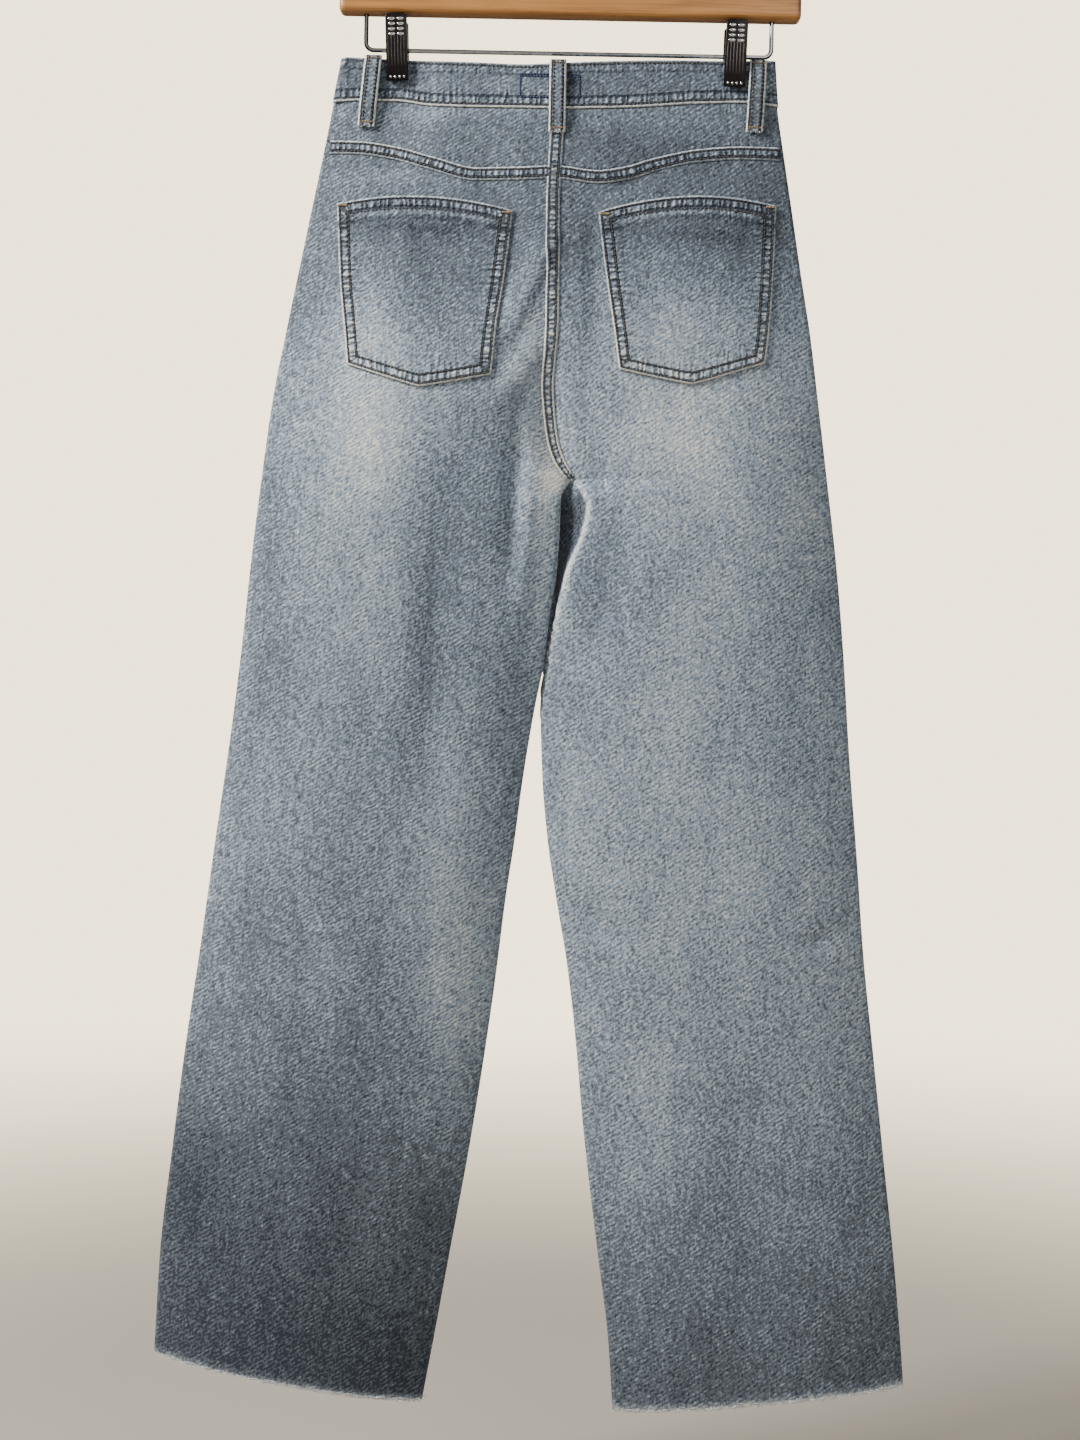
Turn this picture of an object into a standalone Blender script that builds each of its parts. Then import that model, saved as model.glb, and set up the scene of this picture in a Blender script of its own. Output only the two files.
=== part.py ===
"""Wide-leg jeans, back to the viewer, held by the two clips of a wooden hanger.

The view of the photograph looks along +Y: +X is its right and +Z is up. The
origin is the inside of the hook's crown, where the hanger hangs. Lengths are in
metres, and a "drop" is a distance below the wire that carries the clips.
"""

from collections import namedtuple
from math import cos, pi, radians, sin

import bmesh
import bpy
from mathutils import Matrix, Vector

# Cloth
CLOTH = 0.0012
BAND_CLOTH = 0.0022
BAND_INSET = 0.0025
LOOP_CLOTH = 0.0018
SEAM_GAP = 0.0004
CROTCH_GAP = 0.0016
LAY_GAP = 0.0006

# Hanger
WIRE_Z = -0.1275
WIRE_RADIUS = 0.0018
WIRE_HALF_SPAN = 0.158
WIRE_CORNER = 0.006
BAR_TOP_Z = -0.070
BAR_BOTTOM_Z = -0.100
BAR_LEFT = -0.179
BAR_RIGHT = 0.1805
BAR_DEPTH = 0.016
BORE_GAP = 0.0003
BORE_DEPTH = 0.014
HOOK_INNER_RADIUS = 0.022
HOOK_RADIUS = 0.0019

# Clips: each leans by an angle about Y
Clip = namedtuple("Clip", "name middle lean")
CLIPS = [
    Clip("left", -0.1334, 2.4),
    Clip("right", 0.1297, -1.6),
]
JAW_WIDTH = 0.0168
JAW_TOP = -0.026
JAW_BOTTOM = 0.0255
JAW_CORNER = 0.0035
JAW_THICKNESS = 0.0022
JAW_TILT = radians(3.6)
PAD_HEIGHT = 0.009
PAD_THICKNESS = 0.0020

# Outline of the whole garment, a row for each height
Section = namedtuple("Section", "drop left right left_depth right_depth")
SECTIONS = [
    Section(0.000, -0.1745, 0.1600, 0.0058, 0.0058),
    Section(0.040, -0.1818, 0.1634, 0.0075, 0.0075),
    Section(0.070, -0.1870, 0.1680, 0.0105, 0.0105),
    Section(0.120, -0.1965, 0.1762, 0.0150, 0.0150),
    Section(0.170, -0.2060, 0.1843, 0.0180, 0.0180),
    Section(0.220, -0.2154, 0.1928, 0.0200, 0.0200),
    Section(0.270, -0.2243, 0.1995, 0.0210, 0.0210),
    Section(0.330, -0.2318, 0.2074, 0.0215, 0.0215),
    Section(0.400, -0.2393, 0.2164, 0.0215, 0.0210),
    Section(0.470, -0.2456, 0.2232, 0.0215, 0.0205),
    Section(0.540, -0.2532, 0.2285, 0.0215, 0.0200),
    Section(0.620, -0.2633, 0.2360, 0.0215, 0.0195),
    Section(0.700, -0.2730, 0.2430, 0.0215, 0.0190),
    Section(0.780, -0.2834, 0.2525, 0.0220, 0.0185),
    Section(0.860, -0.2921, 0.2619, 0.0225, 0.0180),
    Section(0.940, -0.2999, 0.2715, 0.0230, 0.0180),
    Section(1.000, -0.3023, 0.2774, 0.0235, 0.0180),
    Section(1.070, -0.3050, 0.2833, 0.0240, 0.0180),
]

# Centre seam, down to the crotch
Centre = namedtuple("Centre", "drop x")
CENTRE_SEAM = [
    Centre(0.000, -0.0070),
    Centre(0.063, -0.0080),
    Centre(0.120, -0.0100),
    Centre(0.210, -0.0090),
    Centre(0.260, -0.0115),
    Centre(0.281, -0.0098),
    Centre(0.302, -0.0067),
    Centre(0.316, -0.0021),
    Centre(0.326, 0.0040),
    Centre(0.332, 0.0090),
]
CROTCH_DROP = 0.332

# Inner edges of the legs. The left one lies on the right one below the crotch,
# and fold is how far the right one is turned in behind it, from 0 to 1.
Inner = namedtuple("Inner", "drop left left_y right fold")
INNER_EDGES = [
    Inner(0.332, 0.0082, 0.0000, 0.0098, 0.0),
    Inner(0.338, 0.0040, -0.0030, 0.0150, 0.5),
    Inner(0.345, 0.0005, -0.0060, 0.0195, 0.9),
    Inner(0.353, 0.0000, -0.0080, 0.0220, 1.0),
    Inner(0.373, -0.0003, -0.0085, 0.0185, 1.0),
    Inner(0.405, -0.0020, -0.0085, 0.0063, 1.0),
    Inner(0.435, -0.0065, -0.0080, -0.0006, 0.9),
    Inner(0.473, -0.0103, -0.0060, -0.0081, 0.45),
    Inner(0.510, -0.0170, -0.0030, -0.0115, 0.12),
    Inner(0.567, -0.0254, 0.0000, -0.0090, 0.0),
    Inner(0.613, -0.0307, 0.0000, -0.0042, 0.0),
    Inner(0.660, -0.0370, 0.0000, 0.0037, 0.0),
    Inner(0.707, -0.0420, 0.0000, 0.0124, 0.0),
    Inner(0.753, -0.0474, 0.0000, 0.0188, 0.0),
    Inner(0.847, -0.0605, 0.0000, 0.0291, 0.0),
    Inner(0.940, -0.0760, 0.0000, 0.0418, 0.0),
    Inner(1.000, -0.0860, 0.0000, 0.0503, 0.0),
    Inner(1.070, -0.0980, 0.0000, 0.0560, 0.0),
]
RIM_SHARE = 10 / 12
TIP_SHARE = 11 / 12
INSEAM_SHARE = 0.97
RIM_Y = -0.0090
TURNED_IN_X = -0.0010
TURNED_IN_Y = 0.0065
TIP_X = -0.0140
TIP_Y = 0.0165

# Seams that run across the top, with x from the viewer's left
Crossing = namedtuple("Crossing", "x waist band_seam yoke_seam")
CROSSINGS = [
    Crossing(-0.195, 0.0060, 0.0430, 0.0725),
    Crossing(-0.163, 0.0072, 0.0405, 0.0735),
    Crossing(-0.134, 0.0084, 0.0405, 0.0775),
    Crossing(-0.104, 0.0095, 0.0445, 0.0860),
    Crossing(-0.070, 0.0105, 0.0455, 0.0945),
    Crossing(-0.036, 0.0115, 0.0455, 0.0935),
    Crossing(-0.009, 0.0100, 0.0455, 0.0920),
    Crossing(0.024, 0.0080, 0.0446, 0.0950),
    Crossing(0.046, 0.0070, 0.0436, 0.0915),
    Crossing(0.070, 0.0060, 0.0416, 0.0835),
    Crossing(0.100, 0.0051, 0.0386, 0.0762),
    Crossing(0.135, 0.0042, 0.0365, 0.0720),
    Crossing(0.175, 0.0030, 0.0400, 0.0715),
]
FRONT_DIP = 0.006
BAND_SEAM_DROP = 0.042
YOKE_SEAM_DROP = 0.085

# Where each clip pinches the two layers together
PINCH_DEPTH = 0.0016
PINCH_WIDTH = 0.032
PINCH_FADE = 0.130

# Hems, from the outer to the inner end of each leg
LEFT_HEM = (1.0170, 1.0510)
RIGHT_HEM = (1.0322, 1.0560)

# Largest folds: a line from start to end, its half width and its rise
Fold = namedtuple("Fold", "face x0 drop0 x1 drop1 width rise")
BACK = -1
FRONT = 1
FOLDS = [
    Fold(BACK, -0.012, 0.150, -0.056, 0.235, 0.012, 0.0030),
    Fold(BACK, -0.020, 0.225, -0.050, 0.275, 0.010, 0.0026),
    Fold(BACK, -0.036, 0.300, -0.040, 0.420, 0.012, -0.0036),
    Fold(BACK, -0.024, 0.330, -0.030, 0.440, 0.010, 0.0024),
    Fold(BACK, 0.018, 0.110, 0.026, 0.230, 0.013, -0.0026),
    Fold(BACK, 0.048, 0.360, 0.030, 0.470, 0.022, -0.0040),
    Fold(BACK, -0.090, 0.330, -0.100, 0.600, 0.028, -0.0040),
    Fold(BACK, 0.016, 0.665, 0.060, 0.695, 0.011, -0.0030),
    Fold(BACK, 0.228, 0.680, 0.195, 0.690, 0.010, -0.0022),
    Fold(FRONT, -0.020, 0.290, -0.075, 0.225, 0.012, 0.0030),
    Fold(FRONT, 0.030, 0.295, 0.085, 0.235, 0.012, 0.0030),
    Fold(FRONT, -0.120, 0.400, -0.140, 0.640, 0.030, -0.0040),
    Fold(FRONT, 0.115, 0.420, 0.125, 0.620, 0.028, -0.0036),
]

# Fronts: the pocket mouth is a scoop out of each upper outer corner
SCOOP_DROP = 0.122
SCOOP_SHARE = 0.5
FACING_UNDERLAP = 0.012
FLY_WIDTH = 0.036
FLY_OVERLAP = 0.006
FLY_BOTTOM = 0.205
FLY_CURVE = 0.040
ZIP_WIDTH = 0.026
ZIP_TOP = 0.047
ZIP_BOTTOM = 0.190
LAP_LEFT = -0.034
LAP_RIGHT = 0.016
LAP_OFFSET = 0.0014
BUTTON_X = 0.0040
BUTTON_DROP = 0.031

# Back pockets: corners and the rise of the mouth, a row for each level
Level = namedtuple("Level", "share outer inner outer_drop inner_drop sag")
POCKET_POINT = 1.12
LEFT_POCKET = [
    Level(0.00, -0.1772, -0.0405, 0.1218, 0.1275, -0.0080),
    Level(0.40, -0.1735, -0.0462, 0.1830, 0.1800, -0.0020),
    Level(0.75, -0.1690, -0.0515, 0.2230, 0.2200, 0.0050),
    Level(1.00, -0.1664, -0.0554, 0.2480, 0.2545, 0.0138),
]
RIGHT_POCKET = [
    Level(0.00, 0.1634, 0.0255, 0.1168, 0.1272, -0.0094),
    Level(0.40, 0.1616, 0.0325, 0.1720, 0.1785, -0.0025),
    Level(0.75, 0.1592, 0.0390, 0.2140, 0.2190, 0.0050),
    Level(1.00, 0.1560, 0.0434, 0.2408, 0.2488, 0.0146),
]

# Belt loops: the face that each is on, and its line down
Loop = namedtuple("Loop", "name face top_x bottom_x top bottom")
BELT_LOOPS = [
    Loop("back_left", BACK, -0.1513, -0.1562, 0.0056, 0.0610),
    Loop("back_centre", BACK, -0.0080, -0.0080, 0.0078, 0.0650),
    Loop("back_right", BACK, 0.1475, 0.1452, 0.0036, 0.0595),
    Loop("front_left", FRONT, -0.0950, -0.0950, 0.0130, 0.0620),
    Loop("front_right", FRONT, 0.0800, 0.0800, 0.0110, 0.0600),
]
LOOP_WIDTH = 0.0125
LOOP_BOW = 0.0022

# Rows of the cloth's grid, as drops, closer together at the crotch
BACK_ROWS = [0.080, 0.105, 0.130, 0.160, 0.190, 0.220, 0.250, 0.278, 0.300, 0.316]
FRONT_ROWS = [0.045, 0.070, 0.100, 0.130, 0.160, 0.190, 0.220, 0.250, 0.278, 0.300, 0.316]
LEG_ROWS = [0.326, 0.332, 0.338, 0.345, 0.353, 0.373, 0.390, 0.405, 0.435, 0.455, 0.473]
LOW_ROWS = [0.510, 0.545, 0.590, 0.640, 0.668, 0.682, 0.696, 0.730, 0.780, 0.830, 0.880]
HEM_ROWS = [0.930, 0.975, 1.010, 1.040]
COLUMNS = 12

DENIM = (0.16, 0.20, 0.26)
DENIM_DARK = (0.10, 0.13, 0.18)
WOOD = (0.52, 0.30, 0.13)
CHROME = (0.72, 0.72, 0.74)
BLACK = (0.03, 0.03, 0.035)
BRASS = (0.45, 0.30, 0.14)


def clear_scene():
    for old in list(bpy.data.objects):
        bpy.data.objects.remove(old, do_unlink=True)


def new_collection(name):
    made = bpy.data.collections.new(name)
    bpy.context.scene.collection.children.link(made)
    return made


def material(name, colour, roughness, metallic=0.0):
    made = bpy.data.materials.new(name)
    made.use_nodes = True
    shader = made.node_tree.nodes["Principled BSDF"]
    shader.inputs["Base Color"].default_value = (*colour, 1.0)
    shader.inputs["Roughness"].default_value = roughness
    shader.inputs["Metallic"].default_value = metallic
    made.diffuse_color = (*colour, 1.0)
    return made


def add(name, data, collection, look=None):
    made = bpy.data.objects.new(name, data)
    collection.objects.link(made)
    if look:
        data.materials.append(look)
    return made


def along(rows, key, column, at):
    """A smooth curve through one named column of a table."""
    places = [getattr(row, key) for row in rows]
    values = [getattr(row, column) for row in rows]
    if at <= places[0]:
        return values[0]
    if at >= places[-1]:
        return values[-1]
    i = max(n for n, place in enumerate(places[:-1]) if place <= at)

    def slope(n):
        if n in (0, len(places) - 1):
            return 0.0
        before = (values[n] - values[n - 1]) / (places[n] - places[n - 1])
        after = (values[n + 1] - values[n]) / (places[n + 1] - places[n])
        return 0.0 if before * after <= 0 else 2 * before * after / (before + after)

    span = places[i + 1] - places[i]
    t = (at - places[i]) / span
    rise = values[i + 1] - values[i]
    start = slope(i) if i else rise / span
    end = slope(i + 1) if i + 2 < len(places) else rise / span
    return (
        values[i]
        + rise * t * t * (3 - 2 * t)
        + span * t * (1 - t) * (start * (1 - t) - end * t)
    )


def ease(low, high, at):
    t = min(max((at - low) / (high - low), 0.0), 1.0)
    return t * t * (3 - 2 * t)


def mix(a, b, t):
    return a + (b - a) * t


def bell(distance, width):
    """1 at no distance, falling softly to nothing past twice the width."""
    return 1 / (1 + (distance / width) ** 2) ** 2


def side_name(side):
    return "left" if side < 0 else "right"


def outer_edge(side, drop):
    return along(SECTIONS, "drop", side_name(side), drop)


def inner_edge(side, drop):
    if drop <= CROTCH_DROP:
        spread = mix(SEAM_GAP, CROTCH_GAP, ease(0.200, 0.300, drop))
        return along(CENTRE_SEAM, "drop", "x", drop) + side * spread / 2
    return along(INNER_EDGES, "drop", side_name(side), drop)


def pinch(x, drop):
    """How far the clips press the layers together here, from 0 to 1."""
    near = sum(bell(x - clip.middle, PINCH_WIDTH) for clip in CLIPS)
    return min(near, 1.0) * (1 - ease(0.020, PINCH_FADE, drop))


def fold_rise(face, x, drop):
    """How far the folds push the cloth out here."""
    rise = 0.0
    for fold in FOLDS:
        if fold.face != face:
            continue
        run_x = fold.x1 - fold.x0
        run_drop = fold.drop1 - fold.drop0
        length = (run_x**2 + run_drop**2) ** 0.5
        t = ((x - fold.x0) * run_x + (drop - fold.drop0) * run_drop) / length**2
        across = ((x - fold.x0) * run_drop - (drop - fold.drop0) * run_x) / length
        ends = ease(-0.25, 0.30, t) * (1 - ease(0.70, 1.25, t))
        rise += fold.rise * ends * bell(across, fold.width)
    return rise


def swell(side, face, u, drop):
    """Depth of the cloth from the middle plane: u runs from the side seam inwards."""
    leg = ease(0.190, CROTCH_DROP, drop)
    over_seat = 1 - (1 - u) ** 2.6
    over_leg = 1 - abs(2 * u - 1) ** 2.6
    depth = along(SECTIONS, "drop", side_name(side) + "_depth", drop)
    return depth * mix(over_seat, over_leg, leg)


def cloth_point(side, face, u, drop):
    """Point of the cloth's inner face, before its folds."""
    outer = outer_edge(side, drop)
    inner = inner_edge(side, drop)
    x = mix(outer, inner, u)
    y = face * swell(side, face, u, drop)
    if side < 0 and drop > CROTCH_DROP:
        y += along(INNER_EDGES, "drop", "left_y", drop) * u**5
    if side > 0 and drop > CROTCH_DROP:
        fold = along(INNER_EDGES, "drop", "fold", drop)
        x, y = turned_in(face, u, drop, outer, inner, fold)
    squeeze = pinch(x, drop)
    y = mix(y, face * PINCH_DEPTH, squeeze) if u > 0.02 else y
    edge = min(1.0, 10 * u * (1.001 - u)) if drop > CROTCH_DROP else min(1.0, 8 * u)
    y += face * fold_rise(face, x, drop) * edge
    return Vector((x, y + face * SEAM_GAP / 2, WIRE_Z - drop))


def turned_in(face, u, drop, outer, inner, fold):
    """Plan of the right leg, whose inner end is turned in behind the left leg.

    The back runs to a rim that shows, then turns in to the inseam. The front runs
    to a tip further in and comes back to the inseam.
    """
    depth = along(SECTIONS, "drop", "right_depth", drop)
    seam = Vector((mix(inner, TURNED_IN_X, fold), TURNED_IN_Y * fold))
    if face == BACK:
        turn, share = Vector((inner, RIM_Y * fold)), mix(1.0, RIM_SHARE, fold)
    else:
        turn, share = Vector((mix(inner, TIP_X, fold), TIP_Y * fold)), mix(1.0, TIP_SHARE, fold)
    if u > share:
        return mix(turn, seam, INSEAM_SHARE * (u - share) / (1 - share))
    t = u / share
    round_off = 1 - abs(2 * t - 1) ** 2.6
    return Vector((mix(outer, turn.x, t), turn.y * t**4 + face * depth * round_off))


def share_at(side, x, drop):
    outer = outer_edge(side, drop)
    return (x - outer) / (inner_edge(side, drop) - outer)


def seat_point(face, x, drop):
    """Point of the cloth above the crotch, from its x."""
    side = -1 if x < along(CENTRE_SEAM, "drop", "x", drop) else 1
    return cloth_point(side, face, min(max(share_at(side, x, drop), 0.0), 1.0), drop)


def moved_out(face, x, drop, lift):
    """A point that lies over the cloth, at a distance along its normal."""
    step = 0.004
    across = seat_point(face, x + step, drop) - seat_point(face, x - step, drop)
    down = seat_point(face, x, drop + step) - seat_point(face, x, drop - step)
    normal = across.cross(down).normalized()
    if normal.y * face < 0:
        normal.negate()
    return seat_point(face, x, drop) + lift * normal


def sheet(name, columns, rows, place, thickness, outward, collection, look):
    """A grid whose point (i, j) goes to place(i / columns, j / rows), thickened outwards."""
    made = bmesh.new()
    bmesh.ops.create_grid(made, x_segments=columns, y_segments=rows, size=1.0)
    for vert in made.verts:
        vert.co = place((vert.co.x + 1) / 2, (1 - vert.co.y) / 2)
    made.normal_update()
    facing = sum((outward(f.calc_center_median()).dot(f.normal) for f in made.faces))
    if facing < 0:
        bmesh.ops.reverse_faces(made, faces=made.faces[:])
    data = bpy.data.meshes.new(name)
    made.to_mesh(data)
    made.free()
    data.shade_smooth()
    obj = add(name, data, collection, look)
    wall = obj.modifiers.new("Wall", "SOLIDIFY")
    wall.thickness = thickness
    wall.offset = 1.0
    return obj


def facing_y(face):
    return lambda point: Vector((0, face, 0))


def hem_drop(side, u):
    return mix(*(LEFT_HEM if side < 0 else RIGHT_HEM), u)


def panel(side, face, rows, top, collection, look):
    """A leg panel, from its top seam to its hem."""
    first, reach = rows[0], 0.215 if face == FRONT else 0.120

    def place(u, v):
        nominal = rows[round(v * (len(rows) - 1))]
        near_top = max(0.0, 1 - (nominal - first) / reach)
        near_hem = max(0.0, (nominal - 0.88) / (rows[-1] - 0.88))
        drop = nominal + (top(side, u) - first) * near_top
        drop += (hem_drop(side, u) - rows[-1]) * near_hem
        return cloth_point(side, face, u, drop)

    word = "back" if face == BACK else "front"
    return sheet(
        f"{word}_{side_name(side)}", COLUMNS, len(rows) - 1, place, CLOTH,
        facing_y(face), collection, look,
    )


def band_edge(column, face, x):
    """Drop of the waistband's upper or lower edge: the front dips to its middle."""
    dip = FRONT_DIP * (1 - (x / 0.185) ** 2) if face == FRONT else 0.0
    return along(CROSSINGS, "x", column, x) + dip


def band_seam(face, side, u):
    """Drop of the cloth's top edge below the waistband, at this share of a half."""
    x = mix(outer_edge(side, BAND_SEAM_DROP), inner_edge(side, BAND_SEAM_DROP), u)
    return band_edge("band_seam", face, x) + SEAM_GAP


def yoke_seam(side, u):
    x = mix(outer_edge(side, YOKE_SEAM_DROP), inner_edge(side, YOKE_SEAM_DROP), u)
    return along(CROSSINGS, "x", "yoke_seam", x)


def back_top(side, u):
    return yoke_seam(side, u) + SEAM_GAP


def scoop(side, u):
    """Drop of a front panel's upper edge: it falls away to the side at the pocket mouth."""
    top = band_seam(FRONT, side, u)
    if u >= SCOOP_SHARE:
        return top
    return mix(top, SCOOP_DROP, (1 - (u / SCOOP_SHARE) ** 2) ** 0.85)


def yoke(side, collection, look):
    def place(u, v):
        drop = mix(band_seam(BACK, side, u), yoke_seam(side, u), v)
        return cloth_point(side, BACK, u, drop)

    return sheet(
        f"yoke_{side_name(side)}", COLUMNS, 3, place, CLOTH, facing_y(BACK),
        collection, look,
    )


def pocket_facing(side, collection, look):
    """Cloth behind the pocket mouth, just inside the front panel."""
    inset = CLOTH + LAY_GAP

    def place(a, b):
        u = 0.004 + a * (SCOOP_SHARE + 0.06)
        top = band_seam(FRONT, side, u)
        under = mix(-0.002, FACING_UNDERLAP, ease(0.07, 0.20, u))
        drop = mix(top, max(scoop(side, u), top + 0.004) + under, b)
        point = cloth_point(side, FRONT, u, drop)
        return point - Vector((0, inset * min(1.0, u / 0.07), 0))

    obj = sheet(
        f"pocket_facing_{side_name(side)}", 8, 6, place, CLOTH, facing_y(FRONT),
        collection, look,
    )
    return obj


def band_path(share):
    """Plan point and drop span of the waistband, from its under end round to its upper end.

    Both ends lie at the front, so the strip runs right, round the fold, along the
    back to the left fold and on to the front again.
    """
    left = SECTIONS[0].left + BAND_INSET
    right = SECTIONS[0].right - BAND_INSET
    radius = PINCH_DEPTH
    legs = [right - LAP_LEFT, pi * radius, right - left, pi * radius, LAP_RIGHT - left]
    run = share * sum(legs)
    for n, length in enumerate(legs):
        if run <= length or n == len(legs) - 1:
            break
        run -= length
    if n == 0:
        return LAP_LEFT + run, FRONT, 0.0, -1
    if n == 1:
        return right, BACK, run / radius, 0
    if n == 2:
        return right - run, BACK, 0.0, 0
    if n == 3:
        return left, FRONT, run / radius, 0
    return left + run, FRONT, 0.0, 1


def band_shares():
    """Shares of the strip's length where its grid has a column: close at the two folds."""
    left, right, radius = SECTIONS[0].left + BAND_INSET, SECTIONS[0].right - BAND_INSET, PINCH_DEPTH
    legs = [right - LAP_LEFT, pi * radius, right - left, pi * radius, LAP_RIGHT - left]
    counts = [12, 4, 22, 4, 12]
    shares, start = [0.0], 0.0
    for length, count in zip(legs, counts):
        shares += [(start + length * (n + 1) / count) / sum(legs) for n in range(count)]
        start += length
    return shares


def band_point(share, b):
    """Point of the waistband's inner face, from its top edge, 0, to its lower edge, 1."""
    x, face, turn, lap = band_path(share)
    plan_x = max(min(x, SECTIONS[0].right - 0.002), SECTIONS[0].left + 0.002)
    side = -1 if x < 0 else 1
    width = outer_edge(side, 0.0)
    low_x = plan_x * outer_edge(side, BAND_SEAM_DROP) / width
    drop = mix(band_edge("waist", face, plan_x), band_edge("band_seam", face, low_x), b)
    grow = outer_edge(side, drop) / width
    depth = max(abs(seat_point(face, plan_x * grow, drop).y), PINCH_DEPTH)
    ends = ease(0.002, 0.022, min(plan_x - SECTIONS[0].left, SECTIONS[0].right - plan_x))
    y = face * mix(PINCH_DEPTH, depth, ends)
    shift = 0.0
    if turn:
        shift = side * PINCH_DEPTH * sin(turn)
        y = side * PINCH_DEPTH * cos(turn)
    lapped = ease(LAP_LEFT - 0.016, LAP_LEFT - 0.002, x)
    lapped *= 1 - ease(LAP_RIGHT + 0.002, LAP_RIGHT + 0.016, x)
    return Vector((x * grow + shift, y + lap * LAP_OFFSET * lapped, WIRE_Z - drop))


def waistband(collection, look):
    shares = band_shares()
    columns = len(shares) - 1
    return sheet(
        "waistband", columns, 3, lambda a, b: band_point(shares[round(a * columns)], b),
        BAND_CLOTH, lambda point: Vector((0, 1 if point.y > 0 else -1, 0)), collection, look,
    )


def pocket_place(levels, a, b):
    """Place on a pocket from its outer side, a = 0, and its mouth, b = 0: x and drop."""
    x = mix(along(levels, "share", "outer", b), along(levels, "share", "inner", b), a)
    outer_drop = along(levels, "share", "outer_drop", b)
    inner_drop = along(levels, "share", "inner_drop", b)
    pointed = mix(2.0, POCKET_POINT, ease(0.2, 1.0, b))
    bulge = 1 - abs(2 * a - 1) ** pointed
    return x, mix(outer_drop, inner_drop, a) + along(levels, "share", "sag", b) * bulge


def pocket(side, levels, collection, look):
    """A back pocket, laid on the back panel."""
    lift = CLOTH + LAY_GAP

    def place(a, b):
        return moved_out(BACK, *pocket_place(levels, a, b), lift)

    return sheet(
        f"pocket_{side_name(side)}", 12, 12, place, CLOTH, facing_y(BACK), collection, look
    )


def belt_loop(loop, collection, look):
    """A strip sewn down at both ends, bowed off the waistband between them."""
    lift = BAND_CLOTH + LAY_GAP

    def place(a, b):
        drop = mix(loop.top, loop.bottom, b)
        x = mix(loop.top_x, loop.bottom_x, b) + (a - 0.5) * LOOP_WIDTH
        bow = LOOP_BOW * ease(0.04, 0.25, b) * (1 - ease(0.72, 0.94, b))
        return moved_out(loop.face, x, drop, lift + bow)

    return sheet(
        f"belt_loop_{loop.name}", 2, 12, place, LOOP_CLOTH, facing_y(loop.face),
        collection, look,
    )


def fly(collection, look):
    """The lapped front edge, with the curve that its stitching follows at the foot."""
    lift = CLOTH + LAY_GAP

    def place(a, b):
        drop = mix(0.0535, FLY_BOTTOM, b)
        narrow = max(0.0, (drop - FLY_BOTTOM + FLY_CURVE) / FLY_CURVE)
        width = FLY_WIDTH * max(0.0, 1 - narrow**2) ** 0.5 + 0.003
        middle = along(CENTRE_SEAM, "drop", "x", drop)
        x = middle + FLY_OVERLAP - a * (width + FLY_OVERLAP)
        return moved_out(FRONT, x, drop, lift)

    return sheet("fly", 5, 10, place, CLOTH, facing_y(FRONT), collection, look)


def zip_tape(collection, look):
    """Both tapes and the closed chain between them, shut in behind the fly."""

    def place(a, b):
        drop = mix(ZIP_TOP + 0.008, ZIP_BOTTOM, b)
        middle = along(CENTRE_SEAM, "drop", "x", drop)
        x = middle + (a - 0.5) * ZIP_WIDTH
        return moved_out(FRONT, x, drop, -0.0022)

    return sheet("zip", 4, 8, place, CLOTH, facing_y(FRONT), collection, look)


def turned(name, profile, steps, collection, look):
    """A turned piece, from a profile that runs down its outer side at +X."""
    data = bpy.data.meshes.new(name)
    edges = [(n, n + 1) for n in range(len(profile) - 1)]
    data.from_pydata([(radius, 0, height) for radius, height in profile], edges, [])
    obj = add(name, data, collection, look)
    spin = obj.modifiers.new("Turn", "SCREW")
    spin.axis = "Z"
    spin.steps = steps
    spin.render_steps = steps
    spin.use_merge_vertices = True
    spin.merge_threshold = 0.00001
    return obj


def button(collection, look):
    """A shank button: a domed cap on a foot, on the lapped end of the waistband."""
    foot, cap, height = 0.0040, 0.0085, 0.0052
    profile = [
        (0.0, height),
        (cap * 0.62, height),
        (cap * 0.88, height - 0.0005),
        (cap, height - 0.0013),
        (cap, height - 0.0020),
        (cap * 0.85, height - 0.0026),
        (foot, height - 0.0028),
        (foot, 0.0),
        (0.0, 0.0),
    ]
    obj = turned("button", profile, 24, collection, look)
    seat = seat_point(FRONT, BUTTON_X, BUTTON_DROP)
    obj.rotation_euler = (radians(-90), 0, 0)
    obj.location = seat + Vector((0, LAP_OFFSET + BAND_CLOTH + 0.0005, 0))
    return obj


def tube(name, points, radius, collection, look):
    data = bpy.data.curves.new(name, "CURVE")
    data.dimensions = "3D"
    data.bevel_depth = radius
    data.bevel_resolution = 3
    data.use_fill_caps = True
    line = data.splines.new("POLY")
    line.points.add(len(points) - 1)
    for point, place in zip(line.points, points):
        point.co = (*place, 1.0)
    return add(name, data, collection, look)


def arc(centre, radius, start, end, steps):
    """Points of an arc in the X-Z plane, with its angles in degrees from +X."""
    angles = [radians(mix(start, end, n / steps)) for n in range(steps + 1)]
    return [Vector((centre[0] + radius * cos(t), 0, centre[1] + radius * sin(t))) for t in angles]


def wire(collection, look):
    top = BAR_BOTTOM_Z + BORE_DEPTH - 0.001
    left, right = -WIRE_HALF_SPAN, WIRE_HALF_SPAN
    points = [Vector((left, 0, top)), Vector((left, 0, BAR_BOTTOM_Z - 0.004))]
    points += arc((left + WIRE_CORNER, WIRE_Z + WIRE_CORNER), WIRE_CORNER, 180, 270, 5)
    points += arc((right - WIRE_CORNER, WIRE_Z + WIRE_CORNER), WIRE_CORNER, 270, 360, 5)
    points += [Vector((right, 0, BAR_BOTTOM_Z - 0.004)), Vector((right, 0, top))]
    return tube("hanger_wire", points, WIRE_RADIUS, collection, look)


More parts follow.
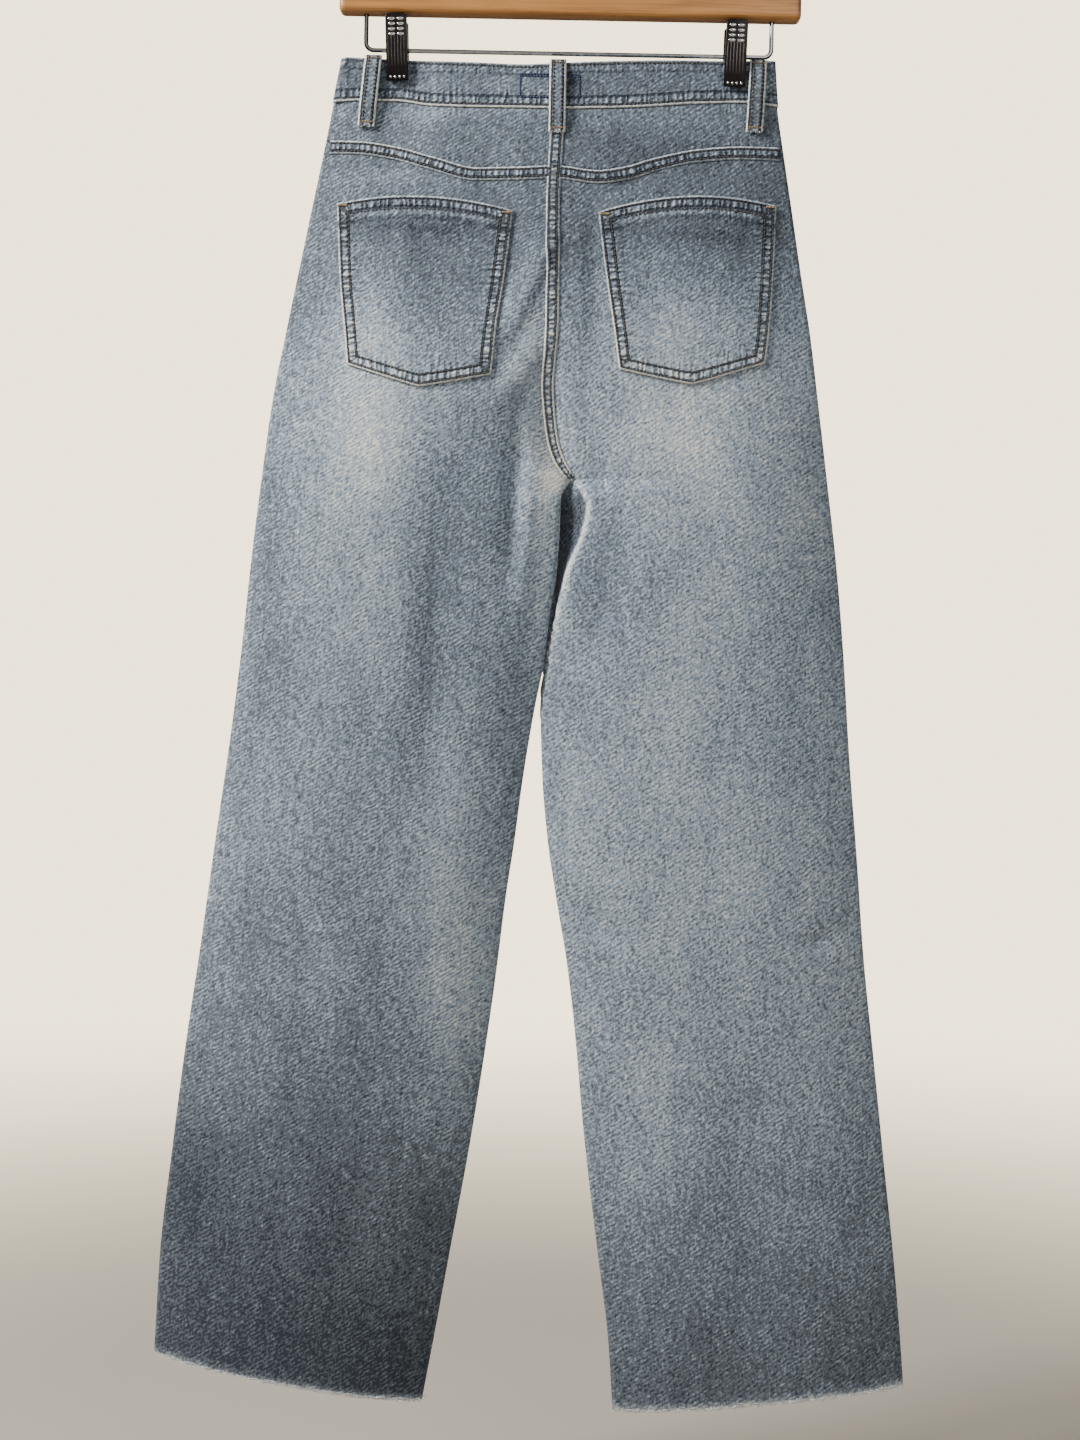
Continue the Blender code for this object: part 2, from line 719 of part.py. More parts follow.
def hook(collection, look):
    """A stem out of the bar, then most of a circle whose inner crown is the origin."""
    ring = HOOK_INNER_RADIUS + HOOK_RADIUS
    centre = (0.0, -HOOK_INNER_RADIUS)
    stem_bottom = BAR_TOP_Z - BORE_DEPTH + 0.001
    points = [Vector((0, 0, stem_bottom)), Vector((0, 0, BAR_TOP_Z + 0.004))]
    bend = arc((0.009, centre[1] - ring - 0.0105), 0.009, 180, 108, 5)
    points += bend
    points += arc(centre, ring, -62, 205, 22)
    return tube("hook", points, HOOK_RADIUS, collection, look)


def cutter(name, x, low, high, radius, collection):
    made = bmesh.new()
    bmesh.ops.create_cone(
        made, cap_ends=True, segments=16, radius1=radius, radius2=radius, depth=high - low
    )
    bmesh.ops.translate(made, verts=made.verts, vec=(x, 0, (low + high) / 2))
    data = bpy.data.meshes.new(name)
    made.to_mesh(data)
    made.free()
    obj = add(name, data, collection)
    obj.hide_render = True
    obj.display_type = "WIRE"
    return obj


def bar(collection, cutters, look):
    """The wooden bar, with a bore for the stem and two for the wire."""
    size = (BAR_RIGHT - BAR_LEFT, BAR_DEPTH, BAR_TOP_Z - BAR_BOTTOM_Z)
    obj = block("hanger_bar", size, collection, look)
    obj.location = ((BAR_LEFT + BAR_RIGHT) / 2, 0, (BAR_TOP_Z + BAR_BOTTOM_Z) / 2)
    soft = obj.modifiers.new("Rounding", "BEVEL")
    soft.width = 0.0045
    soft.segments = 4
    wire_bore = WIRE_RADIUS + BORE_GAP
    hook_bore = HOOK_RADIUS + BORE_GAP
    low, high = BAR_BOTTOM_Z - 0.01, BAR_BOTTOM_Z + BORE_DEPTH
    bores = [
        cutter("bore_left", -WIRE_HALF_SPAN, low, high, wire_bore, cutters),
        cutter("bore_right", WIRE_HALF_SPAN, low, high, wire_bore, cutters),
        cutter("bore_stem", 0, BAR_TOP_Z - BORE_DEPTH, BAR_TOP_Z + 0.01, hook_bore, cutters),
    ]
    for bore in bores:
        cut = obj.modifiers.new(bore.name, "BOOLEAN")
        cut.operation = "DIFFERENCE"
        cut.object = bore
    return obj


def rounded_plate(name, width, top, bottom, thickness, collection, look):
    """An upright plate with round corners: its inner face is at y = 0 and its top at a drop."""
    data = bpy.data.curves.new(name, "CURVE")
    data.dimensions = "2D"
    data.fill_mode = "BOTH"
    data.extrude = thickness / 2
    line = data.splines.new("POLY")
    points = []
    for x, z, start in ((1, 1, 0), (-1, 1, 90), (-1, -1, 180), (1, -1, 270)):
        corner = JAW_CORNER if z > 0 else JAW_CORNER * 0.4
        middle = (x * (width / 2 - corner), (-top if z > 0 else -bottom) - z * corner)
        points += [(p.x, p.z) for p in arc(middle, corner, start, start + 90, 4)]
    line.points.add(len(points) - 1)
    for point, (x, y) in zip(line.points, points):
        point.co = (x, y, 0, 1.0)
    line.use_cyclic_u = True
    return add(name, data, collection, look)


def block(name, size, collection, look):
    made = bmesh.new()
    bmesh.ops.create_cube(made, size=1.0)
    bmesh.ops.scale(made, verts=made.verts, vec=size)
    data = bpy.data.meshes.new(name)
    made.to_mesh(data)
    made.free()
    return add(name, data, collection, look)


def clip_pieces(clip, collection, cutters, steel, rubber):
    """Two jaws on the wire, each with a pad against the waistband."""
    on_wire = Matrix.Translation((clip.middle, 0, WIRE_Z))
    lean = on_wire @ Matrix.Rotation(radians(-clip.lean), 4, "Y")
    band_face = PINCH_DEPTH + SEAM_GAP / 2 + BAND_CLOTH
    pad_inner = band_face + 0.0009
    jaw_inner = pad_inner + PAD_THICKNESS + 0.0003
    pad_drop = JAW_BOTTOM - 0.002 - PAD_HEIGHT / 2
    for face, word in ((BACK, "near"), (FRONT, "far")):
        upright = Matrix.Rotation(radians(90), 4, "X")
        tilt = Matrix.Rotation(face * JAW_TILT, 4, "X")
        pivot = Matrix.Translation((0, face * (jaw_inner + JAW_THICKNESS / 2), -pad_drop))
        jaw = rounded_plate(
            f"clip_{clip.name}_{word}", JAW_WIDTH, JAW_TOP, JAW_BOTTOM,
            JAW_THICKNESS, collection, steel,
        )
        back = Matrix.Translation((0, 0, pad_drop))
        jaw.matrix_world = lean @ pivot @ tilt.inverted() @ back @ upright
        pad_size = (JAW_WIDTH - 0.002, PAD_THICKNESS, PAD_HEIGHT)
        pad = block(f"clip_pad_{clip.name}_{word}", pad_size, collection, rubber)
        pad_y = face * (pad_inner + PAD_THICKNESS / 2)
        pad.matrix_world = lean @ Matrix.Translation((0, pad_y, -pad_drop))
    saddle_top, saddle_bottom = -0.0070, 0.0032
    saddle = block(
        f"clip_saddle_{clip.name}",
        (JAW_WIDTH - 0.004, 2 * (jaw_inner + 0.0007), saddle_bottom - saddle_top),
        collection, steel,
    )
    saddle.matrix_world = lean @ Matrix.Translation((0, 0, -(saddle_top + saddle_bottom) / 2))
    bore = cutter(f"bore_{clip.name}_saddle", 0, -0.02, 0.02, WIRE_RADIUS + BORE_GAP, cutters)
    bore.matrix_world = on_wire @ Matrix.Rotation(radians(90), 4, "Y")
    cut = saddle.modifiers.new("Bore", "BOOLEAN")
    cut.operation = "DIFFERENCE"
    cut.object = bore


def main():
    clear_scene()
    parts = new_collection("wide_leg_jeans")
    cutters = new_collection("cutters")
    denim = material("denim", DENIM, 0.9)
    denim_dark = material("denim_dark", DENIM_DARK, 0.9)
    wood = material("wood", WOOD, 0.35)
    chrome = material("chrome", CHROME, 0.15, 1.0)
    steel = material("clip_steel", BLACK, 0.35, 0.8)
    rubber = material("clip_pad", BLACK, 0.7)
    brass = material("button_metal", BRASS, 0.35, 1.0)
    for side in (-1, 1):
        back_rows = BACK_ROWS + LEG_ROWS + LOW_ROWS + HEM_ROWS
        front_rows = FRONT_ROWS + LEG_ROWS + LOW_ROWS + HEM_ROWS
        panel(side, BACK, back_rows, back_top, parts, denim)
        panel(side, FRONT, front_rows, scoop, parts, denim)
        yoke(side, parts, denim)
        pocket_facing(side, parts, denim_dark)
    pocket(-1, LEFT_POCKET, parts, denim)
    pocket(1, RIGHT_POCKET, parts, denim)
    waistband(parts, denim)
    for loop in BELT_LOOPS:
        belt_loop(loop, parts, denim)
    fly(parts, denim)
    zip_tape(parts, denim_dark)
    button(parts, brass)
    bar(parts, cutters, wood)
    wire(parts, chrome)
    hook(parts, chrome)
    for clip in CLIPS:
        clip_pieces(clip, parts, cutters, steel, rubber)


main()
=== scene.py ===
"""Looks of the wide-leg jeans: cloth, wash, stitching, raw hems and the clip hanger.

The view of the photograph looks along +Y. +X is its right, +Z is up, and the
origin is the inside of the hook's crown. A "drop" is a distance below the wire.
"""

import random
from collections import namedtuple
from math import cos, pi, radians, sin

import bmesh
import bpy
from mathutils import Matrix, Vector, noise


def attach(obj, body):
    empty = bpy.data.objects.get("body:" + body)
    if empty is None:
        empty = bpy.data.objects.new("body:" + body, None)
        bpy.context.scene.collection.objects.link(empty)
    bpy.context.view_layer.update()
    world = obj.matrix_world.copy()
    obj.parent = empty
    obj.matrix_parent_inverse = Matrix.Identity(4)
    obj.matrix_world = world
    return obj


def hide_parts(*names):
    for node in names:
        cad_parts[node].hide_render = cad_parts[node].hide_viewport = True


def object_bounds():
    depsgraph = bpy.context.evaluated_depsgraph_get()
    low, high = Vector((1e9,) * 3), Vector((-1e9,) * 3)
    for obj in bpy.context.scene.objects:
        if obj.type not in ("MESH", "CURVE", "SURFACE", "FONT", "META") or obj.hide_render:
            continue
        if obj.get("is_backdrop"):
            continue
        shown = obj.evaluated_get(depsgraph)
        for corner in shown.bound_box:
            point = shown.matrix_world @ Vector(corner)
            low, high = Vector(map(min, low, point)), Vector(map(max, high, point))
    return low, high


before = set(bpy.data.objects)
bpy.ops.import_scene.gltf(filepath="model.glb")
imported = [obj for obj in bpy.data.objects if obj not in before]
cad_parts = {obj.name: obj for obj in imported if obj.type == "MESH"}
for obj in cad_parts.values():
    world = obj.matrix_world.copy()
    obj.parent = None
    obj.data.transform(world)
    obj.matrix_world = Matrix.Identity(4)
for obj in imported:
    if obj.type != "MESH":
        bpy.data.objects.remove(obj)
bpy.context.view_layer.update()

bl_info = {
    "name": "Wide-leg jeans on a clip hanger",
    "version": (1, 0, 0),
    "blender": (4, 5, 0),
    "location": "View3D > Sidebar > Jeans",
    "description": "Builds the cloth, stitching and finishes of a pair of hung jeans",
    "category": "Add Mesh",
}

# Cloth
CLOTH = 0.0012
BAND_CLOTH = 0.0022
BAND_INSET = 0.0025
LOOP_CLOTH = 0.0018
SEAM_GAP = 0.0004
CROTCH_GAP = 0.0016
LAY_GAP = 0.0006

# Hanger
WIRE_Z = -0.1275

# Clips: each leans by an angle about Y
Clip = namedtuple("Clip", "name middle lean")
CLIPS = [
    Clip("left", -0.1334, 2.4),
    Clip("right", 0.1297, -1.6),
]
JAW_WIDTH = 0.0168
JAW_TOP = -0.026
JAW_BOTTOM = 0.0255
JAW_CORNER = 0.0028
JAW_RIM = 0.0004
JAW_THICKNESS = 0.0022
JAW_TILT = radians(3.6)
PAD_HEIGHT = 0.009
PAD_THICKNESS = 0.0020

# Outline of the whole garment, a row for each height
Section = namedtuple("Section", "drop left right left_depth right_depth")
SECTIONS = [
    Section(0.000, -0.1745, 0.1600, 0.0058, 0.0058),
    Section(0.040, -0.1818, 0.1634, 0.0075, 0.0075),
    Section(0.070, -0.1870, 0.1680, 0.0105, 0.0105),
    Section(0.120, -0.1965, 0.1762, 0.0150, 0.0150),
    Section(0.170, -0.2060, 0.1843, 0.0180, 0.0180),
    Section(0.220, -0.2154, 0.1928, 0.0200, 0.0200),
    Section(0.270, -0.2243, 0.1995, 0.0210, 0.0210),
    Section(0.330, -0.2318, 0.2074, 0.0215, 0.0215),
    Section(0.400, -0.2393, 0.2164, 0.0215, 0.0210),
    Section(0.470, -0.2456, 0.2232, 0.0215, 0.0205),
    Section(0.540, -0.2532, 0.2285, 0.0215, 0.0200),
    Section(0.620, -0.2633, 0.2360, 0.0215, 0.0195),
    Section(0.700, -0.2730, 0.2430, 0.0215, 0.0190),
    Section(0.780, -0.2834, 0.2525, 0.0220, 0.0185),
    Section(0.860, -0.2921, 0.2619, 0.0225, 0.0180),
    Section(0.940, -0.2999, 0.2715, 0.0230, 0.0180),
    Section(1.000, -0.3023, 0.2774, 0.0235, 0.0180),
    Section(1.070, -0.3050, 0.2833, 0.0240, 0.0180),
]

# Centre seam, down to the crotch
Centre = namedtuple("Centre", "drop x")
CENTRE_SEAM = [
    Centre(0.000, -0.0070),
    Centre(0.063, -0.0080),
    Centre(0.120, -0.0100),
    Centre(0.210, -0.0090),
    Centre(0.260, -0.0115),
    Centre(0.281, -0.0098),
    Centre(0.302, -0.0067),
    Centre(0.316, -0.0021),
    Centre(0.326, 0.0040),
    Centre(0.332, 0.0090),
]
CROTCH_DROP = 0.332
RISE_END = 0.331

# Inner edges of the legs. The left one lies on the right one below the crotch,
# and fold is how far the right one is turned in behind it, from 0 to 1.
Inner = namedtuple("Inner", "drop left left_y right fold")
INNER_EDGES = [
    Inner(0.332, 0.0082, 0.0000, 0.0098, 0.0),
    Inner(0.338, 0.0040, -0.0030, 0.0150, 0.5),
    Inner(0.345, 0.0005, -0.0060, 0.0195, 0.9),
    Inner(0.353, 0.0000, -0.0080, 0.0220, 1.0),
    Inner(0.373, -0.0003, -0.0085, 0.0185, 1.0),
    Inner(0.405, -0.0020, -0.0085, 0.0063, 1.0),
    Inner(0.435, -0.0065, -0.0080, -0.0006, 0.9),
    Inner(0.473, -0.0103, -0.0060, -0.0081, 0.45),
    Inner(0.510, -0.0170, -0.0030, -0.0115, 0.12),
    Inner(0.567, -0.0254, 0.0000, -0.0090, 0.0),
    Inner(0.613, -0.0307, 0.0000, -0.0042, 0.0),
    Inner(0.660, -0.0370, 0.0000, 0.0037, 0.0),
    Inner(0.707, -0.0420, 0.0000, 0.0124, 0.0),
    Inner(0.753, -0.0474, 0.0000, 0.0188, 0.0),
    Inner(0.847, -0.0605, 0.0000, 0.0291, 0.0),
    Inner(0.940, -0.0760, 0.0000, 0.0418, 0.0),
    Inner(1.000, -0.0860, 0.0000, 0.0503, 0.0),
    Inner(1.070, -0.0980, 0.0000, 0.0560, 0.0),
]
RIM_SHARE = 10 / 12
TIP_SHARE = 11 / 12
INSEAM_SHARE = 0.97
RIM_Y = -0.0090
TURNED_IN_X = -0.0010
TURNED_IN_Y = 0.0065
TIP_X = -0.0140
TIP_Y = 0.0165

# Seams that run across the top, with x from the viewer's left
Crossing = namedtuple("Crossing", "x waist band_seam yoke_seam")
CROSSINGS = [
    Crossing(-0.195, 0.0060, 0.0430, 0.0725),
    Crossing(-0.163, 0.0072, 0.0405, 0.0735),
    Crossing(-0.134, 0.0084, 0.0405, 0.0775),
    Crossing(-0.104, 0.0095, 0.0445, 0.0860),
    Crossing(-0.070, 0.0105, 0.0455, 0.0945),
    Crossing(-0.036, 0.0115, 0.0455, 0.0935),
    Crossing(-0.009, 0.0100, 0.0455, 0.0920),
    Crossing(0.024, 0.0080, 0.0446, 0.0950),
    Crossing(0.046, 0.0070, 0.0436, 0.0915),
    Crossing(0.070, 0.0060, 0.0416, 0.0835),
    Crossing(0.100, 0.0051, 0.0386, 0.0762),
    Crossing(0.135, 0.0042, 0.0365, 0.0720),
    Crossing(0.175, 0.0030, 0.0400, 0.0715),
]
FRONT_DIP = 0.006
FRONT_DIP_REACH = 0.185
BAND_SEAM_DROP = 0.042
YOKE_SEAM_DROP = 0.085
YOKE_FELL = 0.0042
YOKE_SPAN = (-0.184, 0.166)
BAND_COLUMNS = [12, 4, 22, 4, 12]

# Where each clip pinches the two layers together
PINCH_DEPTH = 0.0016
PINCH_WIDTH = 0.032
PINCH_FADE = 0.130

# Hems, from the outer to the inner end of each leg
LEFT_HEM = (1.0170, 1.0510)
RIGHT_HEM = (1.0322, 1.0560)

# Largest folds: a line from start to end, its half width and its rise
Fold = namedtuple("Fold", "face x0 drop0 x1 drop1 width rise")
BACK = -1
FRONT = 1
FOLDS = [
    Fold(BACK, -0.012, 0.150, -0.056, 0.235, 0.012, 0.0030),
    Fold(BACK, -0.020, 0.225, -0.050, 0.275, 0.010, 0.0026),
    Fold(BACK, -0.036, 0.300, -0.040, 0.420, 0.012, -0.0036),
    Fold(BACK, -0.024, 0.330, -0.030, 0.440, 0.010, 0.0024),
    Fold(BACK, 0.018, 0.110, 0.026, 0.230, 0.013, -0.0026),
    Fold(BACK, 0.048, 0.360, 0.030, 0.470, 0.022, -0.0040),
    Fold(BACK, -0.090, 0.330, -0.100, 0.600, 0.028, -0.0040),
    Fold(BACK, 0.016, 0.665, 0.060, 0.695, 0.011, -0.0030),
    Fold(BACK, 0.228, 0.680, 0.195, 0.690, 0.010, -0.0022),
    Fold(FRONT, -0.020, 0.290, -0.075, 0.225, 0.012, 0.0030),
    Fold(FRONT, 0.030, 0.295, 0.085, 0.235, 0.012, 0.0030),
    Fold(FRONT, -0.120, 0.400, -0.140, 0.640, 0.030, -0.0040),
    Fold(FRONT, 0.115, 0.420, 0.125, 0.620, 0.028, -0.0036),
]

# Fronts: the pocket mouth is a scoop out of each upper outer corner
SCOOP_DROP = 0.122
SCOOP_SHARE = 0.5
FACING_UNDERLAP = 0.012
FLY_WIDTH = 0.036
FLY_OVERLAP = 0.006
FLY_TOP = 0.0535
FLY_BOTTOM = 0.205
FLY_CURVE = 0.040
LAP_LEFT = -0.034
LAP_RIGHT = 0.016
LAP_OFFSET = 0.0014
BUTTON_X = 0.0040
BUTTON_DROP = 0.031

# Back pockets: corners and the rise of the mouth, a row for each level
Level = namedtuple("Level", "share outer inner outer_drop inner_drop sag")
POCKET_POINT = 1.12
LEFT_POCKET = [
    Level(0.00, -0.1772, -0.0405, 0.1218, 0.1275, -0.0080),
    Level(0.40, -0.1735, -0.0462, 0.1830, 0.1800, -0.0020),
    Level(0.75, -0.1690, -0.0515, 0.2230, 0.2200, 0.0050),
    Level(1.00, -0.1664, -0.0554, 0.2480, 0.2545, 0.0138),
]
RIGHT_POCKET = [
    Level(0.00, 0.1634, 0.0255, 0.1168, 0.1272, -0.0094),
    Level(0.40, 0.1616, 0.0325, 0.1720, 0.1785, -0.0025),
    Level(0.75, 0.1592, 0.0390, 0.2140, 0.2190, 0.0050),
    Level(1.00, 0.1560, 0.0434, 0.2408, 0.2488, 0.0146),
]

# Belt loops: the face that each is on, and its line down
Loop = namedtuple("Loop", "name face top_x bottom_x top bottom")
BELT_LOOPS = [
    Loop("back_left", BACK, -0.1513, -0.1562, 0.0056, 0.0610),
    Loop("back_centre", BACK, -0.0080, -0.0080, 0.0078, 0.0650),
    Loop("back_right", BACK, 0.1475, 0.1452, 0.0036, 0.0595),
    Loop("front_left", FRONT, -0.0950, -0.0950, 0.0130, 0.0620),
    Loop("front_right", FRONT, 0.0800, 0.0800, 0.0110, 0.0600),
]
LOOP_WIDTH = 0.0125
LOOP_BOW = 0.0022

# Rows of the cloth's grid, as drops, closer together at the crotch
BACK_ROWS = [0.080, 0.105, 0.130, 0.160, 0.190, 0.220, 0.250, 0.278, 0.300, 0.316]
FRONT_ROWS = [0.045, 0.070, 0.100, 0.130, 0.160, 0.190, 0.220, 0.250, 0.278, 0.300, 0.316]
LEG_ROWS = [0.326, 0.332, 0.338, 0.345, 0.353, 0.373, 0.390, 0.405, 0.435, 0.455, 0.473]
LOW_ROWS = [0.510, 0.545, 0.590, 0.640, 0.668, 0.682, 0.696, 0.730, 0.780, 0.830, 0.880]
HEM_ROWS = [0.930, 0.975, 1.010, 1.040]
COLUMNS = 12

# How round the cloth lies over a leg and over the seat
ROUNDNESS = 2.6

COLUMNS_READ = {}
READ = {}


def along(rows, column, at):
    """A smooth curve through one named column of a table, over the table's first column."""
    asked = (id(rows), column, at)
    if asked not in READ:
        known = asked[:2]
        if known not in COLUMNS_READ:
            COLUMNS_READ[known] = [row[0] for row in rows], [getattr(row, column) for row in rows]
        READ[asked] = curve_through(*COLUMNS_READ[known], at)
    return READ[asked]


def curve_through(places, values, at):
    if at <= places[0]:
        return values[0]
    if at >= places[-1]:
        return values[-1]
    i = max(n for n, place in enumerate(places[:-1]) if place <= at)

    def slope(n):
        if n in (0, len(places) - 1):
            return 0.0
        before = (values[n] - values[n - 1]) / (places[n] - places[n - 1])
        after = (values[n + 1] - values[n]) / (places[n + 1] - places[n])
        return 0.0 if before * after <= 0 else 2 * before * after / (before + after)

    span = places[i + 1] - places[i]
    t = (at - places[i]) / span
    rise = values[i + 1] - values[i]
    start = slope(i) if i else rise / span
    end = slope(i + 1) if i + 2 < len(places) else rise / span
    return (
        values[i]
        + rise * t * t * (3 - 2 * t)
        + span * t * (1 - t) * (start * (1 - t) - end * t)
    )


def ease(low, high, at):
    t = min(max((at - low) / (high - low), 0.0), 1.0)
    return t * t * (3 - 2 * t)


def mix(a, b, t):
    return a + (b - a) * t


def bell(distance, width):
    """1 at no distance, falling softly to nothing past twice the width."""
    return 1 / (1 + (distance / width) ** 2) ** 2


def side_name(side):
    return "left" if side < 0 else "right"


def centre_x(drop):
    return along(CENTRE_SEAM, "x", drop)


def outer_edge(side, drop):
    return along(SECTIONS, side_name(side), drop)


def inner_edge(side, drop):
    if drop <= CROTCH_DROP:
        return centre_x(drop) + side * mix(SEAM_GAP, CROTCH_GAP, ease(0.200, 0.300, drop)) / 2
    return along(INNER_EDGES, side_name(side), drop)


def panel_width(side, drop):
    return abs(outer_edge(side, drop) - inner_edge(side, drop))


def panel_x(side, u, drop):
    """x of a place on a half: u runs from its side seam inwards."""
    return mix(outer_edge(side, drop), inner_edge(side, drop), u)


def pinch(x, drop):
    """How far the clips press the layers together here, from 0 to 1."""
    near = sum(bell(x - clip.middle, PINCH_WIDTH) for clip in CLIPS)
    return min(near, 1.0) * (1 - ease(0.020, PINCH_FADE, drop))


def ripple(face, x, drop):
    """Small uneven waves, longer down the leg than across it."""
    wave = noise.noise(Vector((x * 15, face * 3.1, drop * 6)))
    wave += 0.5 * noise.noise(Vector((x * 38, face * 7.7, drop * 17)))
    return bpy.context.scene.jeans_cloth.ripple * wave * ease(0.06, 0.16, drop)


FOLDS_READ = {}


def folds_of(face):
    """The folds of one face, each with the box past which it no longer shows."""
    if face not in FOLDS_READ:
        FOLDS_READ[face] = []
        for fold in FOLDS + CREASES:
            if fold.face == face:
                reach = 4 * fold.width
                reach_x = reach + 0.3 * abs(fold.x1 - fold.x0)
                reach_drop = reach + 0.3 * abs(fold.drop1 - fold.drop0)
                left, right = sorted((fold.x0, fold.x1))
                top, low = sorted((fold.drop0, fold.drop1))
                box = (left - reach_x, right + reach_x, top - reach_drop, low + reach_drop)
                FOLDS_READ[face].append((fold, *box))
    return FOLDS_READ[face]


def fold_rise(face, x, drop):
    """How far the folds push the cloth out here."""
    rise = ripple(face, x, drop)
    for fold, left, right, top, low in folds_of(face):
        if x < left or x > right or drop < top or drop > low:
            continue
        run_x = fold.x1 - fold.x0
        run_drop = fold.drop1 - fold.drop0
        length = (run_x**2 + run_drop**2) ** 0.5
        t = ((x - fold.x0) * run_x + (drop - fold.drop0) * run_drop) / length**2
        across = ((x - fold.x0) * run_drop - (drop - fold.drop0) * run_x) / length
        ends = ease(-0.25, 0.30, t) * (1 - ease(0.70, 1.25, t))
        rise += fold.rise * ends * bell(across, fold.width)
    return rise


def swell(side, face, u, drop):
    """Depth of the cloth from the middle plane: u runs from the side seam inwards."""
    over_seat = 1 - (1 - u) ** ROUNDNESS
    over_leg = 1 - abs(2 * u - 1) ** ROUNDNESS
    depth = along(SECTIONS, side_name(side) + "_depth", drop)
    return depth * mix(over_seat, over_leg, ease(0.190, CROTCH_DROP, drop))


def cloth_point(side, face, u, drop):
    """Point of the cloth's inner face, before its folds."""
    below = drop > CROTCH_DROP
    x = panel_x(side, u, drop)
    y = face * swell(side, face, u, drop)
    if side < 0 and below:
        y += along(INNER_EDGES, "left_y", drop) * u**5
    if side > 0 and below:
        x, y = turned_in(face, u, drop)
    y = mix(y, face * PINCH_DEPTH, pinch(x, drop)) if u > 0.02 else y
    edge = min(1.0, 10 * u * (1.001 - u)) if below else min(1.0, 8 * u)
    y += face * fold_rise(face, x, drop) * edge
    return Vector((x, y + face * SEAM_GAP / 2, WIRE_Z - drop))


def turned_in(face, u, drop):
    """Plan of the right leg, whose inner end is turned in behind the left leg.

    The back runs to a rim that shows, then turns in to the inseam. The front runs
    to a tip further in and comes back to the inseam.
    """
    outer, inner = outer_edge(1, drop), inner_edge(1, drop)
    fold = along(INNER_EDGES, "fold", drop)
    seam = Vector((mix(inner, TURNED_IN_X, fold), TURNED_IN_Y * fold))
    if face == BACK:
        turn, share = Vector((inner, RIM_Y * fold)), mix(1.0, RIM_SHARE, fold)
    else:
        turn, share = Vector((mix(inner, TIP_X, fold), TIP_Y * fold)), mix(1.0, TIP_SHARE, fold)
    if u > share:
        return mix(turn, seam, INSEAM_SHARE * (u - share) / (1 - share))
    t = u / share
    depth = along(SECTIONS, "right_depth", drop) * (1 - abs(2 * t - 1) ** ROUNDNESS)
    return Vector((mix(outer, turn.x, t), turn.y * t**4 + face * depth))


def share_at(side, x, drop):
    outer = outer_edge(side, drop)
    return (x - outer) / (inner_edge(side, drop) - outer)


def seat_point(face, x, drop):
    """Point of the cloth above the crotch, from its x."""
    side = -1 if x < centre_x(drop) else 1
    return cloth_point(side, face, min(max(share_at(side, x, drop), 0.0), 1.0), drop)


def moved_out(face, x, drop, lift):
    """A point that lies over the cloth, at a distance along its normal."""
    step = 0.004
    across = seat_point(face, x + step, drop) - seat_point(face, x - step, drop)
    down = seat_point(face, x, drop + step) - seat_point(face, x, drop - step)
    normal = across.cross(down).normalized()
    if normal.y * face < 0:
        normal.negate()
    return seat_point(face, x, drop) + lift * normal


def hem_drop(side, u):
    return mix(*(LEFT_HEM if side < 0 else RIGHT_HEM), u)


def band_edge(column, face, x):
    """Drop of the waistband's upper or lower edge: the front dips to its middle."""
    dip = FRONT_DIP * (1 - (x / FRONT_DIP_REACH) ** 2) if face == FRONT else 0.0
    return along(CROSSINGS, column, x) + dip


def band_seam(face, side, u):
    """Drop of the cloth's top edge below the waistband, at this share of a half."""
    return band_edge("band_seam", face, panel_x(side, u, BAND_SEAM_DROP)) + SEAM_GAP


def yoke_seam(side, u):
    return along(CROSSINGS, "yoke_seam", panel_x(side, u, YOKE_SEAM_DROP))


def back_top(side, u):
    return yoke_seam(side, u) + SEAM_GAP


def scoop(side, u):
    """Drop of a front panel's upper edge: it falls away to the side at the pocket mouth."""
    top = band_seam(FRONT, side, u)
    if u >= SCOOP_SHARE:
        return top
    return mix(top, SCOOP_DROP, (1 - (u / SCOOP_SHARE) ** 2) ** 0.85)


def band_legs():
    """The waistband's two ends in x, and the lengths of its five stretches."""
    left, right = SECTIONS[0].left + BAND_INSET, SECTIONS[0].right - BAND_INSET
    turn = pi * PINCH_DEPTH
    return left, right, [right - LAP_LEFT, turn, right - left, turn, LAP_RIGHT - left]


def band_path(share):
    """x, face, turn and lap of the waistband, from its under end round to its upper end.

    Both ends lie at the front, so the strip runs right, round the fold, along the
    back to the left fold and on to the front again.
    """
    left, right, legs = band_legs()
    run = share * sum(legs)
    for n, length in enumerate(legs):
        if run <= length or n == len(legs) - 1:
            break
        run -= length
    return [
        (LAP_LEFT + run, FRONT, 0.0, -1),
        (right, BACK, run / PINCH_DEPTH, 0),
        (right - run, BACK, 0.0, 0),
        (left, FRONT, run / PINCH_DEPTH, 0),
        (left + run, FRONT, 0.0, 1),
    ][n]


